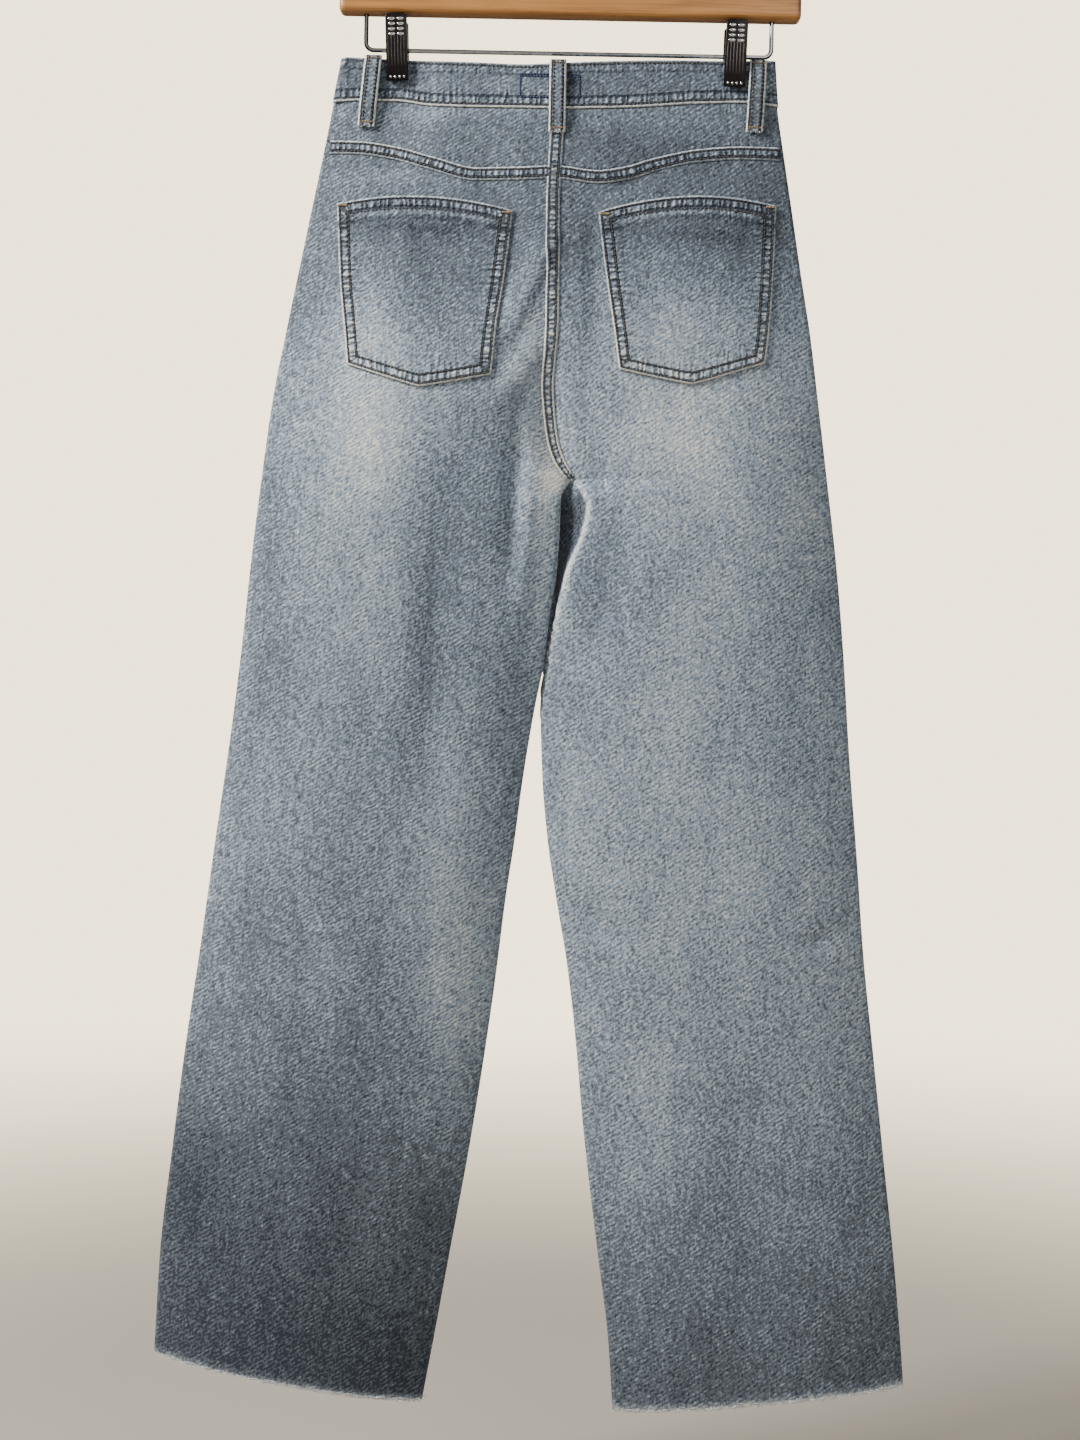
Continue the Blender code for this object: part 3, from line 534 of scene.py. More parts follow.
def band_point(share, b):
    """Point of the waistband's inner face, its drop, its two edges there and its face."""
    x, face, turn, lap = band_path(share)
    plan_x = max(min(x, SECTIONS[0].right - 0.002), SECTIONS[0].left + 0.002)
    side = -1 if x < 0 else 1
    width = outer_edge(side, 0.0)
    low_x = plan_x * outer_edge(side, BAND_SEAM_DROP) / width
    top, seam = band_edge("waist", face, plan_x), band_edge("band_seam", face, low_x)
    drop = mix(top, seam, b)
    grow = outer_edge(side, drop) / width
    depth = max(abs(seat_point(face, plan_x * grow, drop).y), PINCH_DEPTH)
    ends = ease(0.002, 0.022, min(plan_x - SECTIONS[0].left, SECTIONS[0].right - plan_x))
    y = face * mix(PINCH_DEPTH, depth, ends)
    shift = 0.0
    if turn:
        shift = side * PINCH_DEPTH * sin(turn)
        y = side * PINCH_DEPTH * cos(turn)
    lapped = ease(LAP_LEFT - 0.016, LAP_LEFT - 0.002, x)
    lapped *= 1 - ease(LAP_RIGHT + 0.002, LAP_RIGHT + 0.016, x)
    y += lap * LAP_OFFSET * lapped
    return Vector((x * grow + shift, y, WIRE_Z - drop)), drop, top, seam, face


def band_shares():
    """Shares of the strip's length where its grid has a column: close at the two folds."""
    legs = band_legs()[2]
    shares, start = [0.0], 0.0
    for length, count in zip(legs, BAND_COLUMNS):
        shares += [(start + length * (n + 1) / count) / sum(legs) for n in range(count)]
        start += length
    return shares


# Detail that only this script adds: each cell of a solid's grid is cut finer
FINE = 6
CROSS = 5
BAND_FINE = 4
THREAD_PITCH = 0.0031
THREAD_LENGTH = 0.0026
THREAD_RADIUS = 0.00062
LOOP_THREAD_RADIUS = 0.00090
THREAD_LIFT = 0.0001
TACK_LIFT = 0.0002
LOOSE_RADIUS = 0.00034

# Smaller creases, as in FOLDS
CREASES = [
    Fold(BACK, -0.008, 0.150, -0.046, 0.232, 0.0045, 0.0019),
    Fold(BACK, -0.014, 0.231, -0.042, 0.274, 0.0045, 0.0019),
    Fold(BACK, -0.034, 0.265, -0.033, 0.410, 0.0080, -0.0024),
    Fold(BACK, 0.006, 0.255, 0.014, 0.315, 0.0060, 0.0016),
    Fold(BACK, -0.118, 0.128, -0.086, 0.215, 0.0120, -0.0018),
    Fold(BACK, -0.020, 0.430, -0.026, 0.520, 0.0100, -0.0016),
    Fold(BACK, 0.022, 0.395, 0.060, 0.455, 0.0120, -0.0018),
    Fold(BACK, 0.090, 0.082, 0.030, 0.112, 0.0080, -0.0014),
    Fold(BACK, -0.150, 0.090, -0.080, 0.104, 0.0090, -0.0010),
    Fold(BACK, 0.020, 0.700, 0.052, 0.722, 0.0070, -0.0014),
    Fold(BACK, 0.012, 0.640, 0.044, 0.652, 0.0070, 0.0012),
    Fold(BACK, -0.190, 0.700, -0.130, 0.980, 0.0240, -0.0020),
    Fold(BACK, 0.140, 0.760, 0.180, 1.000, 0.0260, -0.0020),
    Fold(FRONT, -0.012, 0.300, -0.060, 0.262, 0.0065, 0.0015),
    Fold(FRONT, 0.026, 0.300, 0.070, 0.268, 0.0065, 0.0015),
    Fold(FRONT, -0.030, 0.350, -0.052, 0.470, 0.0110, -0.0018),
    Fold(FRONT, 0.045, 0.350, 0.064, 0.480, 0.0110, -0.0018),
    Fold(FRONT, -0.200, 0.700, -0.150, 0.980, 0.0240, -0.0020),
    Fold(FRONT, 0.150, 0.740, 0.190, 0.980, 0.0240, -0.0020),
]

# Wash of the cloth down the garment: 0 is dark indigo and 1 is bleached. Its darkening towards the hems
# is partly painted shade, standing in for the light falling off down the legs
Tone = namedtuple("Tone", "drop left right")
TONES = [
    Tone(0.00, 0.36, 0.36),
    Tone(0.08, 0.35, 0.35),
    Tone(0.15, 0.36, 0.41),
    Tone(0.26, 0.51, 0.50),
    Tone(0.40, 0.47, 0.49),
    Tone(0.60, 0.49, 0.57),
    Tone(0.80, 0.38, 0.53),
    Tone(0.92, 0.21, 0.40),
    Tone(1.06, 0.02, 0.19),
]

# Faded and darker patches, with half sizes: partly the wash's own fading at the seat and thighs, and
# partly painted light, with painted shade in fold troughs and painted highlights
Patch = namedtuple("Patch", "face x drop half_x half_drop amount")
PATCHES = [
    Patch(BACK, -0.150, 0.310, 0.040, 0.065, 0.30),
    Patch(BACK, 0.085, 0.300, 0.055, 0.055, 0.28),
    Patch(BACK, -0.150, 0.205, 0.030, 0.050, 0.16),
    Patch(BACK, 0.075, 0.222, 0.040, 0.040, 0.16),
    Patch(BACK, -0.160, 0.430, 0.050, 0.150, 0.12),
    Patch(BACK, 0.110, 0.450, 0.070, 0.160, 0.10),
    # Painted shade in the left thigh's long fold trough.
    Patch(BACK, -0.082, 0.380, 0.026, 0.130, -0.16),
    Patch(BACK, -0.030, 0.240, 0.016, 0.050, 0.14),
    # Painted shade in fold troughs: by the left pocket, below the crotch on the right and right of the
    # centre seam.
    Patch(BACK, -0.100, 0.170, 0.022, 0.050, -0.10),
    Patch(BACK, 0.040, 0.380, 0.026, 0.080, -0.12),
    Patch(BACK, 0.020, 0.170, 0.030, 0.060, -0.10),
    Patch(BACK, 0.140, 0.130, 0.040, 0.040, -0.10),
    Patch(BACK, 0.080, 0.078, 0.060, 0.022, -0.12),
    Patch(BACK, -0.215, 0.220, 0.022, 0.110, -0.08),
    Patch(BACK, -0.150, 0.730, 0.040, 0.180, -0.07),
    Patch(BACK, -0.282, 0.880, 0.032, 0.110, -0.14),
    Patch(BACK, -0.078, 0.720, 0.034, 0.140, 0.27),
    Patch(BACK, -0.012, 0.370, 0.012, 0.060, 0.20),
    Patch(BACK, 0.004, 0.026, 0.010, 0.006, -0.30),
    # Painted shade further down the same troughs.
    Patch(BACK, -0.100, 0.465, 0.014, 0.120, -0.10),
    Patch(BACK, 0.024, 0.400, 0.016, 0.060, -0.08),
    Patch(BACK, 0.185, 0.350, 0.030, 0.120, 0.10),
    Patch(BACK, -0.222, 0.430, 0.020, 0.120, -0.10),
    Patch(BACK, -0.040, 0.062, 0.050, 0.010, -0.06),
    Patch(BACK, -0.165, 0.022, 0.020, 0.012, -0.12),
    # Painted light on the waistband's right end, which curves away from the key light.
    Patch(BACK, 0.158, 0.022, 0.030, 0.018, 0.12),
    Patch(BACK, 0.095, 0.215, 0.045, 0.030, 0.06),
    Patch(BACK, -0.060, 0.028, 0.050, 0.010, 0.08),
    # Painted highlight on the curled foot of the rise seam.
    Patch(BACK, -0.006, 0.334, 0.009, 0.011, 0.50),
    Patch(BACK, -0.104, 0.143, 0.055, 0.006, -0.15),
    Patch(BACK, 0.104, 0.144, 0.055, 0.006, -0.15),
    Patch(BACK, -0.110, 0.051, 0.060, 0.006, 0.14),
    Patch(BACK, 0.060, 0.052, 0.050, 0.006, 0.08),
    Patch(BACK, -0.145, 0.101, 0.045, 0.008, 0.14),
    Patch(BACK, -0.150, 0.232, 0.024, 0.016, 0.10),
    Patch(FRONT, -0.125, 0.330, 0.048, 0.130, 0.26),
    Patch(FRONT, 0.110, 0.330, 0.048, 0.130, 0.26),
    Patch(FRONT, -0.170, 0.620, 0.050, 0.080, 0.10),
    Patch(FRONT, 0.130, 0.620, 0.050, 0.080, 0.10),
    Patch(FRONT, -0.010, 0.250, 0.040, 0.060, -0.10),
]

# Weave: the twill's slant, and how close its lines and yarns lie
TWILL_TURN = radians(-57)
TWILL_SCALE = 104.0
SLUB_SCALE = 460.0
YARN_SCALE = 640.0

# Wear by a seam: its profile over SEAM_REACH metres, raised where it is 1
SEAM_REACH = 0.02
SEAM_PROFILE = [
    (0.000, 1.00), (0.060, 1.00), (0.082, 0.06), (0.145, 0.06), (0.180, 0.55),
    (0.350, 0.55), (0.395, 0.06), (0.462, 0.06), (0.500, 0.50),
]
STITCH_INSET = 0.0022
FELL_INSET = 0.011
FELL_LIFT = 0.00012
FELL_TOP = 0.0013
WORN_BAND = (0.020, 0.034)
SIDE_TURNS = 0.042

# Stitching: the waistband's rows, as drop and inset, and where a pocket's run turns in at its foot
BAND_STITCHED = (-0.168, 0.154)
BAND_ROWS = {"waist": (0.008, 0.0022), "band_seam": (0.040, -0.0024)}
FOOT_START = 0.34
POCKET_RUN = 0.40
MOUTH_RUN = 0.135
FLY_RUN = 0.165
SCOOP_RUN = 0.118
NAVY = (0.022, 0.034, 0.085)
HEM_THREADS = 560
LOOSE_YARN = (0.60, 0.62, 0.63)


def colour_setting(name, description, colour):
    return bpy.props.FloatVectorProperty(
        name=name, description=description, subtype="COLOR",
        size=4, default=(*colour, 1.0), min=0.0, max=1.0,
    )


class ClothSettings(bpy.types.PropertyGroup):
    ripple: bpy.props.FloatProperty(
        name="Ripple", description="Height of the cloth's small waves",
        default=0.0008, min=0.0, max=0.003, unit="LENGTH",
    )
    fray: bpy.props.FloatProperty(
        name="Fray", description="Length of the loose threads at the raw hems",
        default=0.0026, min=0.0005, max=0.008, unit="LENGTH",
    )


class ColourSettings(bpy.types.PropertyGroup):
    indigo: colour_setting("Indigo", "Darkest yarn of the denim", (0.022, 0.029, 0.044))
    washed: colour_setting("Washed", "Middle tone of the denim", (0.126, 0.151, 0.180))
    worn: colour_setting("Worn", "Brighter blue of the worn cloth", (0.202, 0.252, 0.320))
    faded: colour_setting("Faded", "Pale tone at the seat and thighs", (0.372, 0.430, 0.480))
    bleached: colour_setting("Bleached", "Bare weft yarn at worn ridges", (0.740, 0.720, 0.650))
    thread: colour_setting("Thread", "Sewing thread", (0.062, 0.052, 0.042))
    bartack: colour_setting("Bartack", "Tan thread of the bartacks", (0.330, 0.230, 0.130))


class StageSettings(bpy.types.PropertyGroup):
    camera_distance: bpy.props.FloatProperty(
        name="Camera distance", description="From the camera to the jeans",
        default=1.60, min=0.5, max=5.0, unit="LENGTH",
    )
    camera_roll: bpy.props.FloatProperty(
        name="Camera roll", description="Tilt of the picture about the view",
        default=radians(-1.1), subtype="ANGLE",
    )


# Materials


class Graph:
    """A node tree, with short ways to add nodes and to link them as they are made."""

    def __init__(self, tree):
        self.nodes, self.links = tree.nodes, tree.links

    def node(self, kind, **values):
        made = self.nodes.new("ShaderNode" + kind)
        for key, value in values.items():
            setattr(made, key, value)
        return made

    def fill(self, made, inputs):
        """Links each input to the output given for it, or sets it to the value given."""
        for socket, value in inputs.items():
            if isinstance(value, bpy.types.NodeSocket):
                self.links.new(value, made.inputs[socket])
            else:
                made.inputs[socket].default_value = value
        return made

    def place(self):
        return self.node("TexCoord").outputs["Object"]

    def math(self, operation, *values, clamp=False):
        made = self.node("Math", operation=operation, use_clamp=clamp)
        return self.fill(made, dict(enumerate(values))).outputs[0]

    def add(self, total, *others):
        for other in others:
            total = self.math("ADD", total, other)
        return total

    def multiply(self, a, b, clamp=False):
        return self.math("MULTIPLY", a, b, clamp=clamp)

    def about(self, value, middle, gain, clamp=False):
        """How far a value is past its middle, times a gain."""
        return self.multiply(self.math("SUBTRACT", value, middle), gain, clamp)

    def ramp(self, factor, stops, interpolation="LINEAR"):
        """Colours between stops, where a single number is a grey."""
        made = self.fill(self.node("ValToRGB"), {0: factor})
        made.color_ramp.interpolation = interpolation
        elements = made.color_ramp.elements
        while len(elements) < len(stops):
            elements.new(0.5)
        for element, (place, colour) in zip(elements, stops):
            grey = isinstance(colour, float)
            channels = (colour,) * 3 if grey else colour
            element.position = place
            element.color = (*channels[:3], 1.0)
        return made.outputs[0]

    def stretched(self, vector, scale, turn=0.0):
        inputs = {"Vector": vector, "Scale": scale, "Rotation": (0.0, 0.0, turn)}
        return self.fill(self.node("Mapping"), inputs).outputs[0]

    def noise(self, vector, scale, detail=2.0, rough=0.5):
        inputs = {"Vector": vector, "Scale": scale, "Detail": detail, "Roughness": rough}
        return self.fill(self.node("TexNoise"), inputs).outputs["Fac"]

    def waves(self, direction, inputs):
        made = self.node("TexWave", wave_type="BANDS", bands_direction=direction)
        return self.fill(made, inputs).outputs["Fac"]

    def bump(self, height, strength, distance, normal=None):
        inputs = {"Height": height, "Strength": strength, "Distance": distance}
        made = self.fill(self.node("Bump"), inputs)
        if normal:
            self.links.new(normal, made.inputs["Normal"])
        return made.outputs[0]


def new_material(name):
    """A material, its graph and its shader."""
    made = bpy.data.materials.new(name)
    made.use_nodes = True
    return made, Graph(made.node_tree), made.node_tree.nodes["Principled BSDF"]


def made_once(build):
    """Gives the material that has the name asked for, and builds it only the first time."""

    def found_or_built(name, *look, **more):
        return bpy.data.materials.get(name) or build(name, *look, **more)

    return found_or_built


def new_group(name, inputs):
    """A node group that gives a tone and a height: the group, its graph, its inputs and its end."""
    made = bpy.data.node_groups.new(name, "ShaderNodeTree")
    for label, kind in inputs.items():
        made.interface.new_socket(label, in_out="INPUT", socket_type=kind)
    for label in ("Tone", "Height"):
        made.interface.new_socket(label, in_out="OUTPUT", socket_type="NodeSocketFloat")
    graph = Graph(made)
    given, out = graph.nodes.new("NodeGroupInput"), graph.nodes.new("NodeGroupOutput")
    return made, graph, given.outputs, out


def weave_group():
    """Twill lines, slubs along the warp and salt-and-pepper yarn ends, from cloth metres."""
    group, graph, given, out = new_group(
        "Denim weave", {"Cloth": "NodeSocketVector", "Patchy": "NodeSocketFloat"}
    )
    cloth = given["Cloth"]
    diagonal = graph.stretched(cloth, (1.0, 1.0, 1.0), TWILL_TURN)
    twill = graph.waves("X", {
        "Vector": diagonal, "Scale": TWILL_SCALE,
        "Distortion": 2.8, "Detail": 1.0, "Detail Scale": 1.6,
    })
    slub = graph.noise(graph.stretched(cloth, (1.0, 0.32, 1.0)), SLUB_SCALE, 1.0, 0.6)
    grain = graph.noise(graph.stretched(cloth, (1.0, 0.8, 1.0)), YARN_SCALE, 0.0)
    picks = graph.noise(graph.stretched(diagonal, (1.0, 0.35, 1.0)), YARN_SCALE, 0.0)
    lines = graph.multiply(graph.about(twill, 0.5, 0.22), given["Patchy"])
    yarns = [graph.about(fine, 0.5, gain) for fine, gain in ((slub, 0.58), (grain, 0.50), (picks, 0.50))]
    height = graph.add(graph.multiply(twill, 0.45), grain)
    graph.fill(out, {"Tone": graph.add(lines, *yarns), "Height": height})
    return group


def seam_group():
    """Worn edge, sunk stitch lines and puckers, from the distance to a seam and along it."""
    group, graph, given, out = new_group(
        "Seam wear", {"Edge": "NodeSocketVector", "Strength": "NodeSocketFloat"}
    )
    edge, strength = given["Edge"], given["Strength"]
    far = graph.fill(graph.node("SeparateXYZ"), {0: edge}).outputs["X"]
    profile = graph.ramp(graph.multiply(far, 1 / SEAM_REACH, clamp=True), SEAM_PROFILE)
    along_seam = graph.stretched(edge, (0.30, 1.0, 1.0))
    pucker = graph.noise(along_seam, 260.0, 1.5, 0.5)
    crests = graph.waves("Y", {
        "Vector": along_seam, "Scale": 66.0, "Distortion": 7.0, "Detail Scale": 1.5,
    })
    between = graph.math("SUBTRACT", 9.0, graph.multiply(far, 1000.0), clamp=True)
    beyond = graph.math("SUBTRACT", 1.45, graph.multiply(far, 60.0), clamp=True)
    wander = graph.noise(edge, 45.0, 2.0, 0.6)
    beyond = graph.multiply(beyond, graph.about(wander, 0.34, 2.6))
    near = graph.math("MAXIMUM", between, beyond, clamp=True)
    near = graph.multiply(near, graph.about(far, STITCH_INSET, 900.0, clamp=True))
    puckers = graph.add(graph.about(pucker, 0.48, 2.6), graph.about(crests, 0.5, 0.9))
    puckers = graph.multiply(puckers, near)
    tone = graph.add(graph.multiply(puckers, 0.8), graph.about(profile, 0.5, 1.5))
    height = graph.add(graph.multiply(puckers, 0.7), profile)
    for label, value in (("Tone", tone), ("Height", height)):
        graph.fill(out, {label: graph.multiply(value, strength)})
    return group


@made_once
def denim(name):
    """Denim that reads its wash from the piece: cloth metres, seam distance, the wash with its painted
    light and shade, and wear.
    """
    colours = bpy.context.scene.jeans_colours
    made, graph, shader = new_material(name)
    cloth, edge = (graph.node("UVMap", uv_map=layer).outputs[0] for layer in ("Cloth", "Edge"))
    fade, wear = (
        graph.node("Attribute", attribute_name=layer).outputs["Fac"] for layer in ("fade", "wear")
    )
    place = graph.place()
    cloud = graph.noise(graph.stretched(place, (1.0, 1.0, 0.6)), 16.0, 3.0, 0.6)
    mottle = graph.noise(graph.stretched(place, (1.0, 1.0, 0.32)), 105.0, 3.0, 0.6)
    patchy = graph.ramp(mottle, [(0.36, 0.25), (0.62, 1.0)])
    weave, seam = (graph.node("Group", node_tree=tree) for tree in (weave_group(), seam_group()))
    graph.fill(weave, {"Cloth": cloth, "Patchy": patchy})
    graph.fill(seam, {"Edge": edge, "Strength": wear})
    clouds = graph.about(cloud, 0.5, 0.30), graph.about(mottle, 0.5, 0.28)
    tone = graph.add(fade, *clouds, weave.outputs["Tone"])
    tone = graph.math("ADD", tone, graph.multiply(seam.outputs["Tone"], 0.54), clamp=True)
    stops = [
        (0.0, colours.indigo), (0.40, colours.washed), (0.52, colours.worn), (0.74, colours.faded),
        (1.0, colours.bleached),
    ]
    seam_bump = graph.bump(seam.outputs["Height"], 0.9, 0.0014)
    graph.fill(shader, {
        "Base Color": graph.ramp(tone, stops),
        "Roughness": 0.88,
        "Specular IOR Level": 0.18,
        "Sheen Weight": 0.12,
        "Sheen Roughness": 0.6,
        "Normal": graph.bump(weave.outputs["Height"], 0.6, 0.0004, seam_bump),
    })
    return made


@made_once
def yarn(name, colour):
    """Twisted sewing thread or loose yarn."""
    made, graph, shader = new_material(name)
    flecks = graph.noise(graph.place(), 900.0, 2.0)
    darker = [channel * 0.55 for channel in colour[:3]]
    lighter = [min(channel * 1.5, 1.0) for channel in colour[:3]]
    twist = graph.ramp(flecks, [(0.25, darker), (0.75, lighter)])
    graph.fill(shader, {"Base Color": twist, "Roughness": 0.85})
    return made


# Cloth


def wash_and_painted_light_at(face, x, drop):
    """Wash of the cloth at a place, from 0, dark, to 1, bleached, with the painted shade and painted
    highlights of TONES and PATCHES in it.
    """
    tone = mix(along(TONES, "left", drop), along(TONES, "right", drop), ease(-0.03, 0.03, x))
    for patch in PATCHES:
        if patch.face == face:
            far = ((x - patch.x) / patch.half_x) ** 2 + ((drop - patch.drop) / patch.half_drop) ** 2
            tone += patch.amount / (1 + far) ** 1.5
    return tone


def cloth_piece(name, columns, rows, place, thickness, face, replaced=()):
    """A grid of cloth.

    place(a, b) gives its point, its cloth metres, its seam distance and place along
    that seam, its wash with painted light and shade, and its wear.
    """
    made = bmesh.new()
    bmesh.ops.create_grid(made, x_segments=columns, y_segments=rows, size=1.0)
    cloth_layer = made.loops.layers.uv.new("Cloth")
    edge_layer = made.loops.layers.uv.new("Edge")
    fade_and_painted_light_layer = made.verts.layers.float.new("fade")
    wear_layer = made.verts.layers.float.new("wear")
    told = {}
    for vert in made.verts:
        vert.co, cloth, edge, fade, wear = place((vert.co.x + 1) / 2, (1 - vert.co.y) / 2)
        vert[fade_and_painted_light_layer] = fade
        vert[wear_layer] = wear
        told[vert.index] = (cloth, edge)
    for quad in made.faces:
        for loop in quad.loops:
            loop[cloth_layer].uv, loop[edge_layer].uv = told[loop.vert.index]
    made.normal_update()

    def outwards(quad):
        return quad.normal.y * (face or (1 if quad.calc_center_median().y > 0 else -1))

    if sum(outwards(quad) for quad in made.faces) < 0:
        bmesh.ops.reverse_faces(made, faces=made.faces[:])
    obj = finish_mesh(name, made, denim("Washed denim"))
    wall = obj.modifiers.new("Wall", "SOLIDIFY")
    wall.thickness = thickness
    wall.offset = 1.0
    if replaced:
        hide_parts(*replaced)
    return obj


def finish_mesh(name, made, look):
    data = bpy.data.meshes.new(name)
    made.to_mesh(data)
    made.free()
    data.shade_smooth()
    obj = bpy.data.objects.new(name, data)
    bpy.context.scene.collection.objects.link(obj)
    data.materials.append(look)
    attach(obj, "root")
    return obj


def nearest(*edges):
    """The nearest of several seams, as its distance and the place along it."""
    return min(edges, key=lambda edge: edge[0])


def between_rows(coarse, share):
    """A value between two of the coarse grid's rows, at a share of the way through them."""
    at = share * (len(coarse) - 1)
    low = min(int(at + 1e-6), len(coarse) - 2)
    return mix(coarse[low], coarse[low + 1], at - low)


def leg_panel(side, face):
    """A leg panel from its top seam to its hem, on the same grid as its solid, made finer."""
    coarse = (BACK_ROWS if face == BACK else FRONT_ROWS) + LEG_ROWS + LOW_ROWS + HEM_ROWS
    first, last = coarse[0], coarse[-1]
    top, reach, beside = (back_top, 0.120, FELL_INSET) if face == BACK else (scoop, 0.215, 0.0)

    def place(u, v):
        nominal = between_rows(coarse, v)
        near_top = max(0.0, 1 - (nominal - first) / reach)
        near_hem = max(0.0, (nominal - LOW_ROWS[-1]) / (last - LOW_ROWS[-1]))
        start, hem = top(side, u), hem_drop(side, u)
        drop = nominal + (start - first) * near_top + (hem - last) * near_hem
        point = cloth_point(side, face, u, drop)
        width = panel_width(side, drop)
        edge = nearest(((1 - u) * width + beside, drop), (drop - start + beside, point.x))
        at_top = 1 - ease(*WORN_BAND, drop - start)
        at_centre = (1 - ease(*WORN_BAND, (1 - u) * width)) * (1 - ease(0.30, 0.34, drop))
        wear = max(0.80 * at_top, 0.65 * at_centre)
        fade = wash_and_painted_light_at(face, point.x, drop) + 0.75 * bell(hem - drop, 0.0036)
        run = u
        if side > 0 and drop > CROTCH_DROP:
            fold = along(INNER_EDGES, "fold", drop)
            share = mix(1.0, RIM_SHARE if face == BACK else TIP_SHARE, fold)
            run = u / share if u < share else 1 + u - share
            # Painted shade over the turned-in strip past the rim, which lies in the left leg's shadow,
            # and a bright line along the rim, partly the fold's worn edge and partly painted highlight.
            if face == BACK:
                fade += fold * (0.60 * bell(u - share, 0.011) - 0.34 * ease(share, share + 0.02, u))
        return point, (face * side * run * width, drop), edge, fade, wear

    name = f"{'back' if face == BACK else 'front'}_{side_name(side)}"
    rows = (len(coarse) - 1) * FINE
    obj = cloth_piece(name + "_cloth", COLUMNS * CROSS, rows, place, CLOTH, face, [name])
    width, height = panel_width(side, 0.8) + SIDE_TURNS, hem_drop(side, 0.5) - first


def yoke_cloth(side):
    def place(u, v):
        start, end = band_seam(BACK, side, u), yoke_seam(side, u)
        drop = mix(start, end, v)
        point = cloth_point(side, BACK, u, drop)
        edge = nearest((drop - start + FELL_INSET, point.x), (end - drop + FELL_INSET, point.x))
        metres = (-side * u * panel_width(side, drop), drop)
        return point, metres, edge, wash_and_painted_light_at(BACK, point.x, drop), 0.8

    name = f"yoke_{side_name(side)}"
    obj = cloth_piece(name + "_cloth", COLUMNS * CROSS, 14, place, CLOTH, BACK, [name])


def facing_cloth(side):
    inset = CLOTH + LAY_GAP

    def place(a, b):
        u = 0.004 + a * (SCOOP_SHARE + 0.06)
        top = band_seam(FRONT, side, u)
        under = mix(-0.002, FACING_UNDERLAP, ease(0.07, 0.20, u))
        drop = mix(top, max(scoop(side, u), top + 0.004) + under, b)
        point = cloth_point(side, FRONT, u, drop) - Vector((0, inset * min(1.0, u / 0.07), 0))
        metres = (side * u * panel_width(side, drop), drop)
        return point, metres, (0.03, drop), wash_and_painted_light_at(FRONT, point.x, drop) - 0.14, 0.0

    name = f"pocket_facing_{side_name(side)}"
    obj = cloth_piece(name + "_cloth", 40, 24, place, CLOTH, FRONT, [name])


def waistband_cloth():
    coarse = band_shares()
    length = (SECTIONS[0].right - SECTIONS[0].left) * 2 + 0.05

    def place(a, b):
        share = between_rows(coarse, a)
        point, drop, top, seam, face = band_point(share, b)
        edge = nearest((drop - top, point.x), (seam - drop, point.x))
        worn = 0.85 if seam - drop < drop - top else 0.35
        fade = wash_and_painted_light_at(face, point.x, drop) - 0.03 + 0.34 * bell(seam - drop - 0.0006, 0.0016)
        return point, (-share * length, drop), edge, fade, worn

    columns = (len(coarse) - 1) * BAND_FINE
    obj = cloth_piece("waistband_cloth", columns, 36, place, BAND_CLOTH, 0, ["waistband"])


def pocket_span(levels, b):
    """The pocket's outer and inner side in x, and its width, at a share of its height."""
    outer, inner = along(levels, "outer", b), along(levels, "inner", b)
    return outer, inner, abs(inner - outer)


def pocket_place(levels, a, b):
    """Place on a pocket from its outer side, a = 0, and its mouth, b = 0: x and drop."""
    outer, inner, _ = pocket_span(levels, b)
    drop = mix(along(levels, "outer_drop", b), along(levels, "inner_drop", b), a)
    pointed = mix(2.0, POCKET_POINT, ease(0.2, 1.0, b))
    bulge = 1 - abs(2 * a - 1) ** pointed
    return mix(outer, inner, a), drop + along(levels, "sag", b) * bulge


def pocket_cloth(side, levels):
    lift = CLOTH + LAY_GAP

    def place(a, b):
        x, drop = pocket_place(levels, a, b)
        width = pocket_span(levels, b)[2]
        top, low = pocket_place(levels, a, 0.0)[1], pocket_place(levels, a, 1.0)[1]
        edge = nearest((a * width, drop), ((1 - a) * width, drop), (low - drop, x), (drop - top, x))
        corner = ease(0.35, 0.46, abs(a - 0.5))
        fade = wash_and_painted_light_at(BACK, x, drop) - 0.05
        fade += 0.26 * bell(drop - top - 0.0125, 0.0016) * (1 - corner)
        fade -= mix(0.16, 0.42, corner) * bell(drop - top - 0.0165, 0.0022)
        return moved_out(BACK, x, drop, lift), (x, drop), edge, fade, 1.0

    name = f"pocket_{side_name(side)}"
    obj = cloth_piece(name + "_cloth", 72, 84, place, CLOTH, BACK, [name])


def loop_bow(b):
    """How far a belt loop stands off between its two sewn ends."""
    return LOOP_BOW * ease(0.04, 0.25, b) * (1 - ease(0.72, 0.94, b))


def loop_place(loop, b):
    return mix(loop.top_x, loop.bottom_x, b), mix(loop.top, loop.bottom, b)


def belt_loop_cloth(loop):
    lift = BAND_CLOTH + LAY_GAP

    def place(a, b):
        x, drop = loop_place(loop, b)
        x += (a - 0.5) * LOOP_WIDTH
        crown = 0.0004 * (1 - (2 * a - 1) ** 4)
        inward = min(a, 1 - a) * LOOP_WIDTH
        edge = (inward if inward < 0.0030 else 0.030, drop)
        fade = 0.42 + 0.36 * (1 - ease(0.0, 0.06, 1 - b))
        point = moved_out(loop.face, x, drop, lift + loop_bow(b) + crown)
        return point, (x, drop), edge, fade, 1.35

    name = f"belt_loop_{loop.name}"
    obj = cloth_piece(name + "_cloth", 10, 40, place, LOOP_CLOTH - 0.0004, loop.face, [name])


def fly_reach(drop):
    """Width of the fly, which rounds off at its foot."""
    narrow = max(0.0, (drop - FLY_BOTTOM + FLY_CURVE) / FLY_CURVE)
    return FLY_WIDTH * max(0.0, 1 - narrow**2) ** 0.5 + 0.003


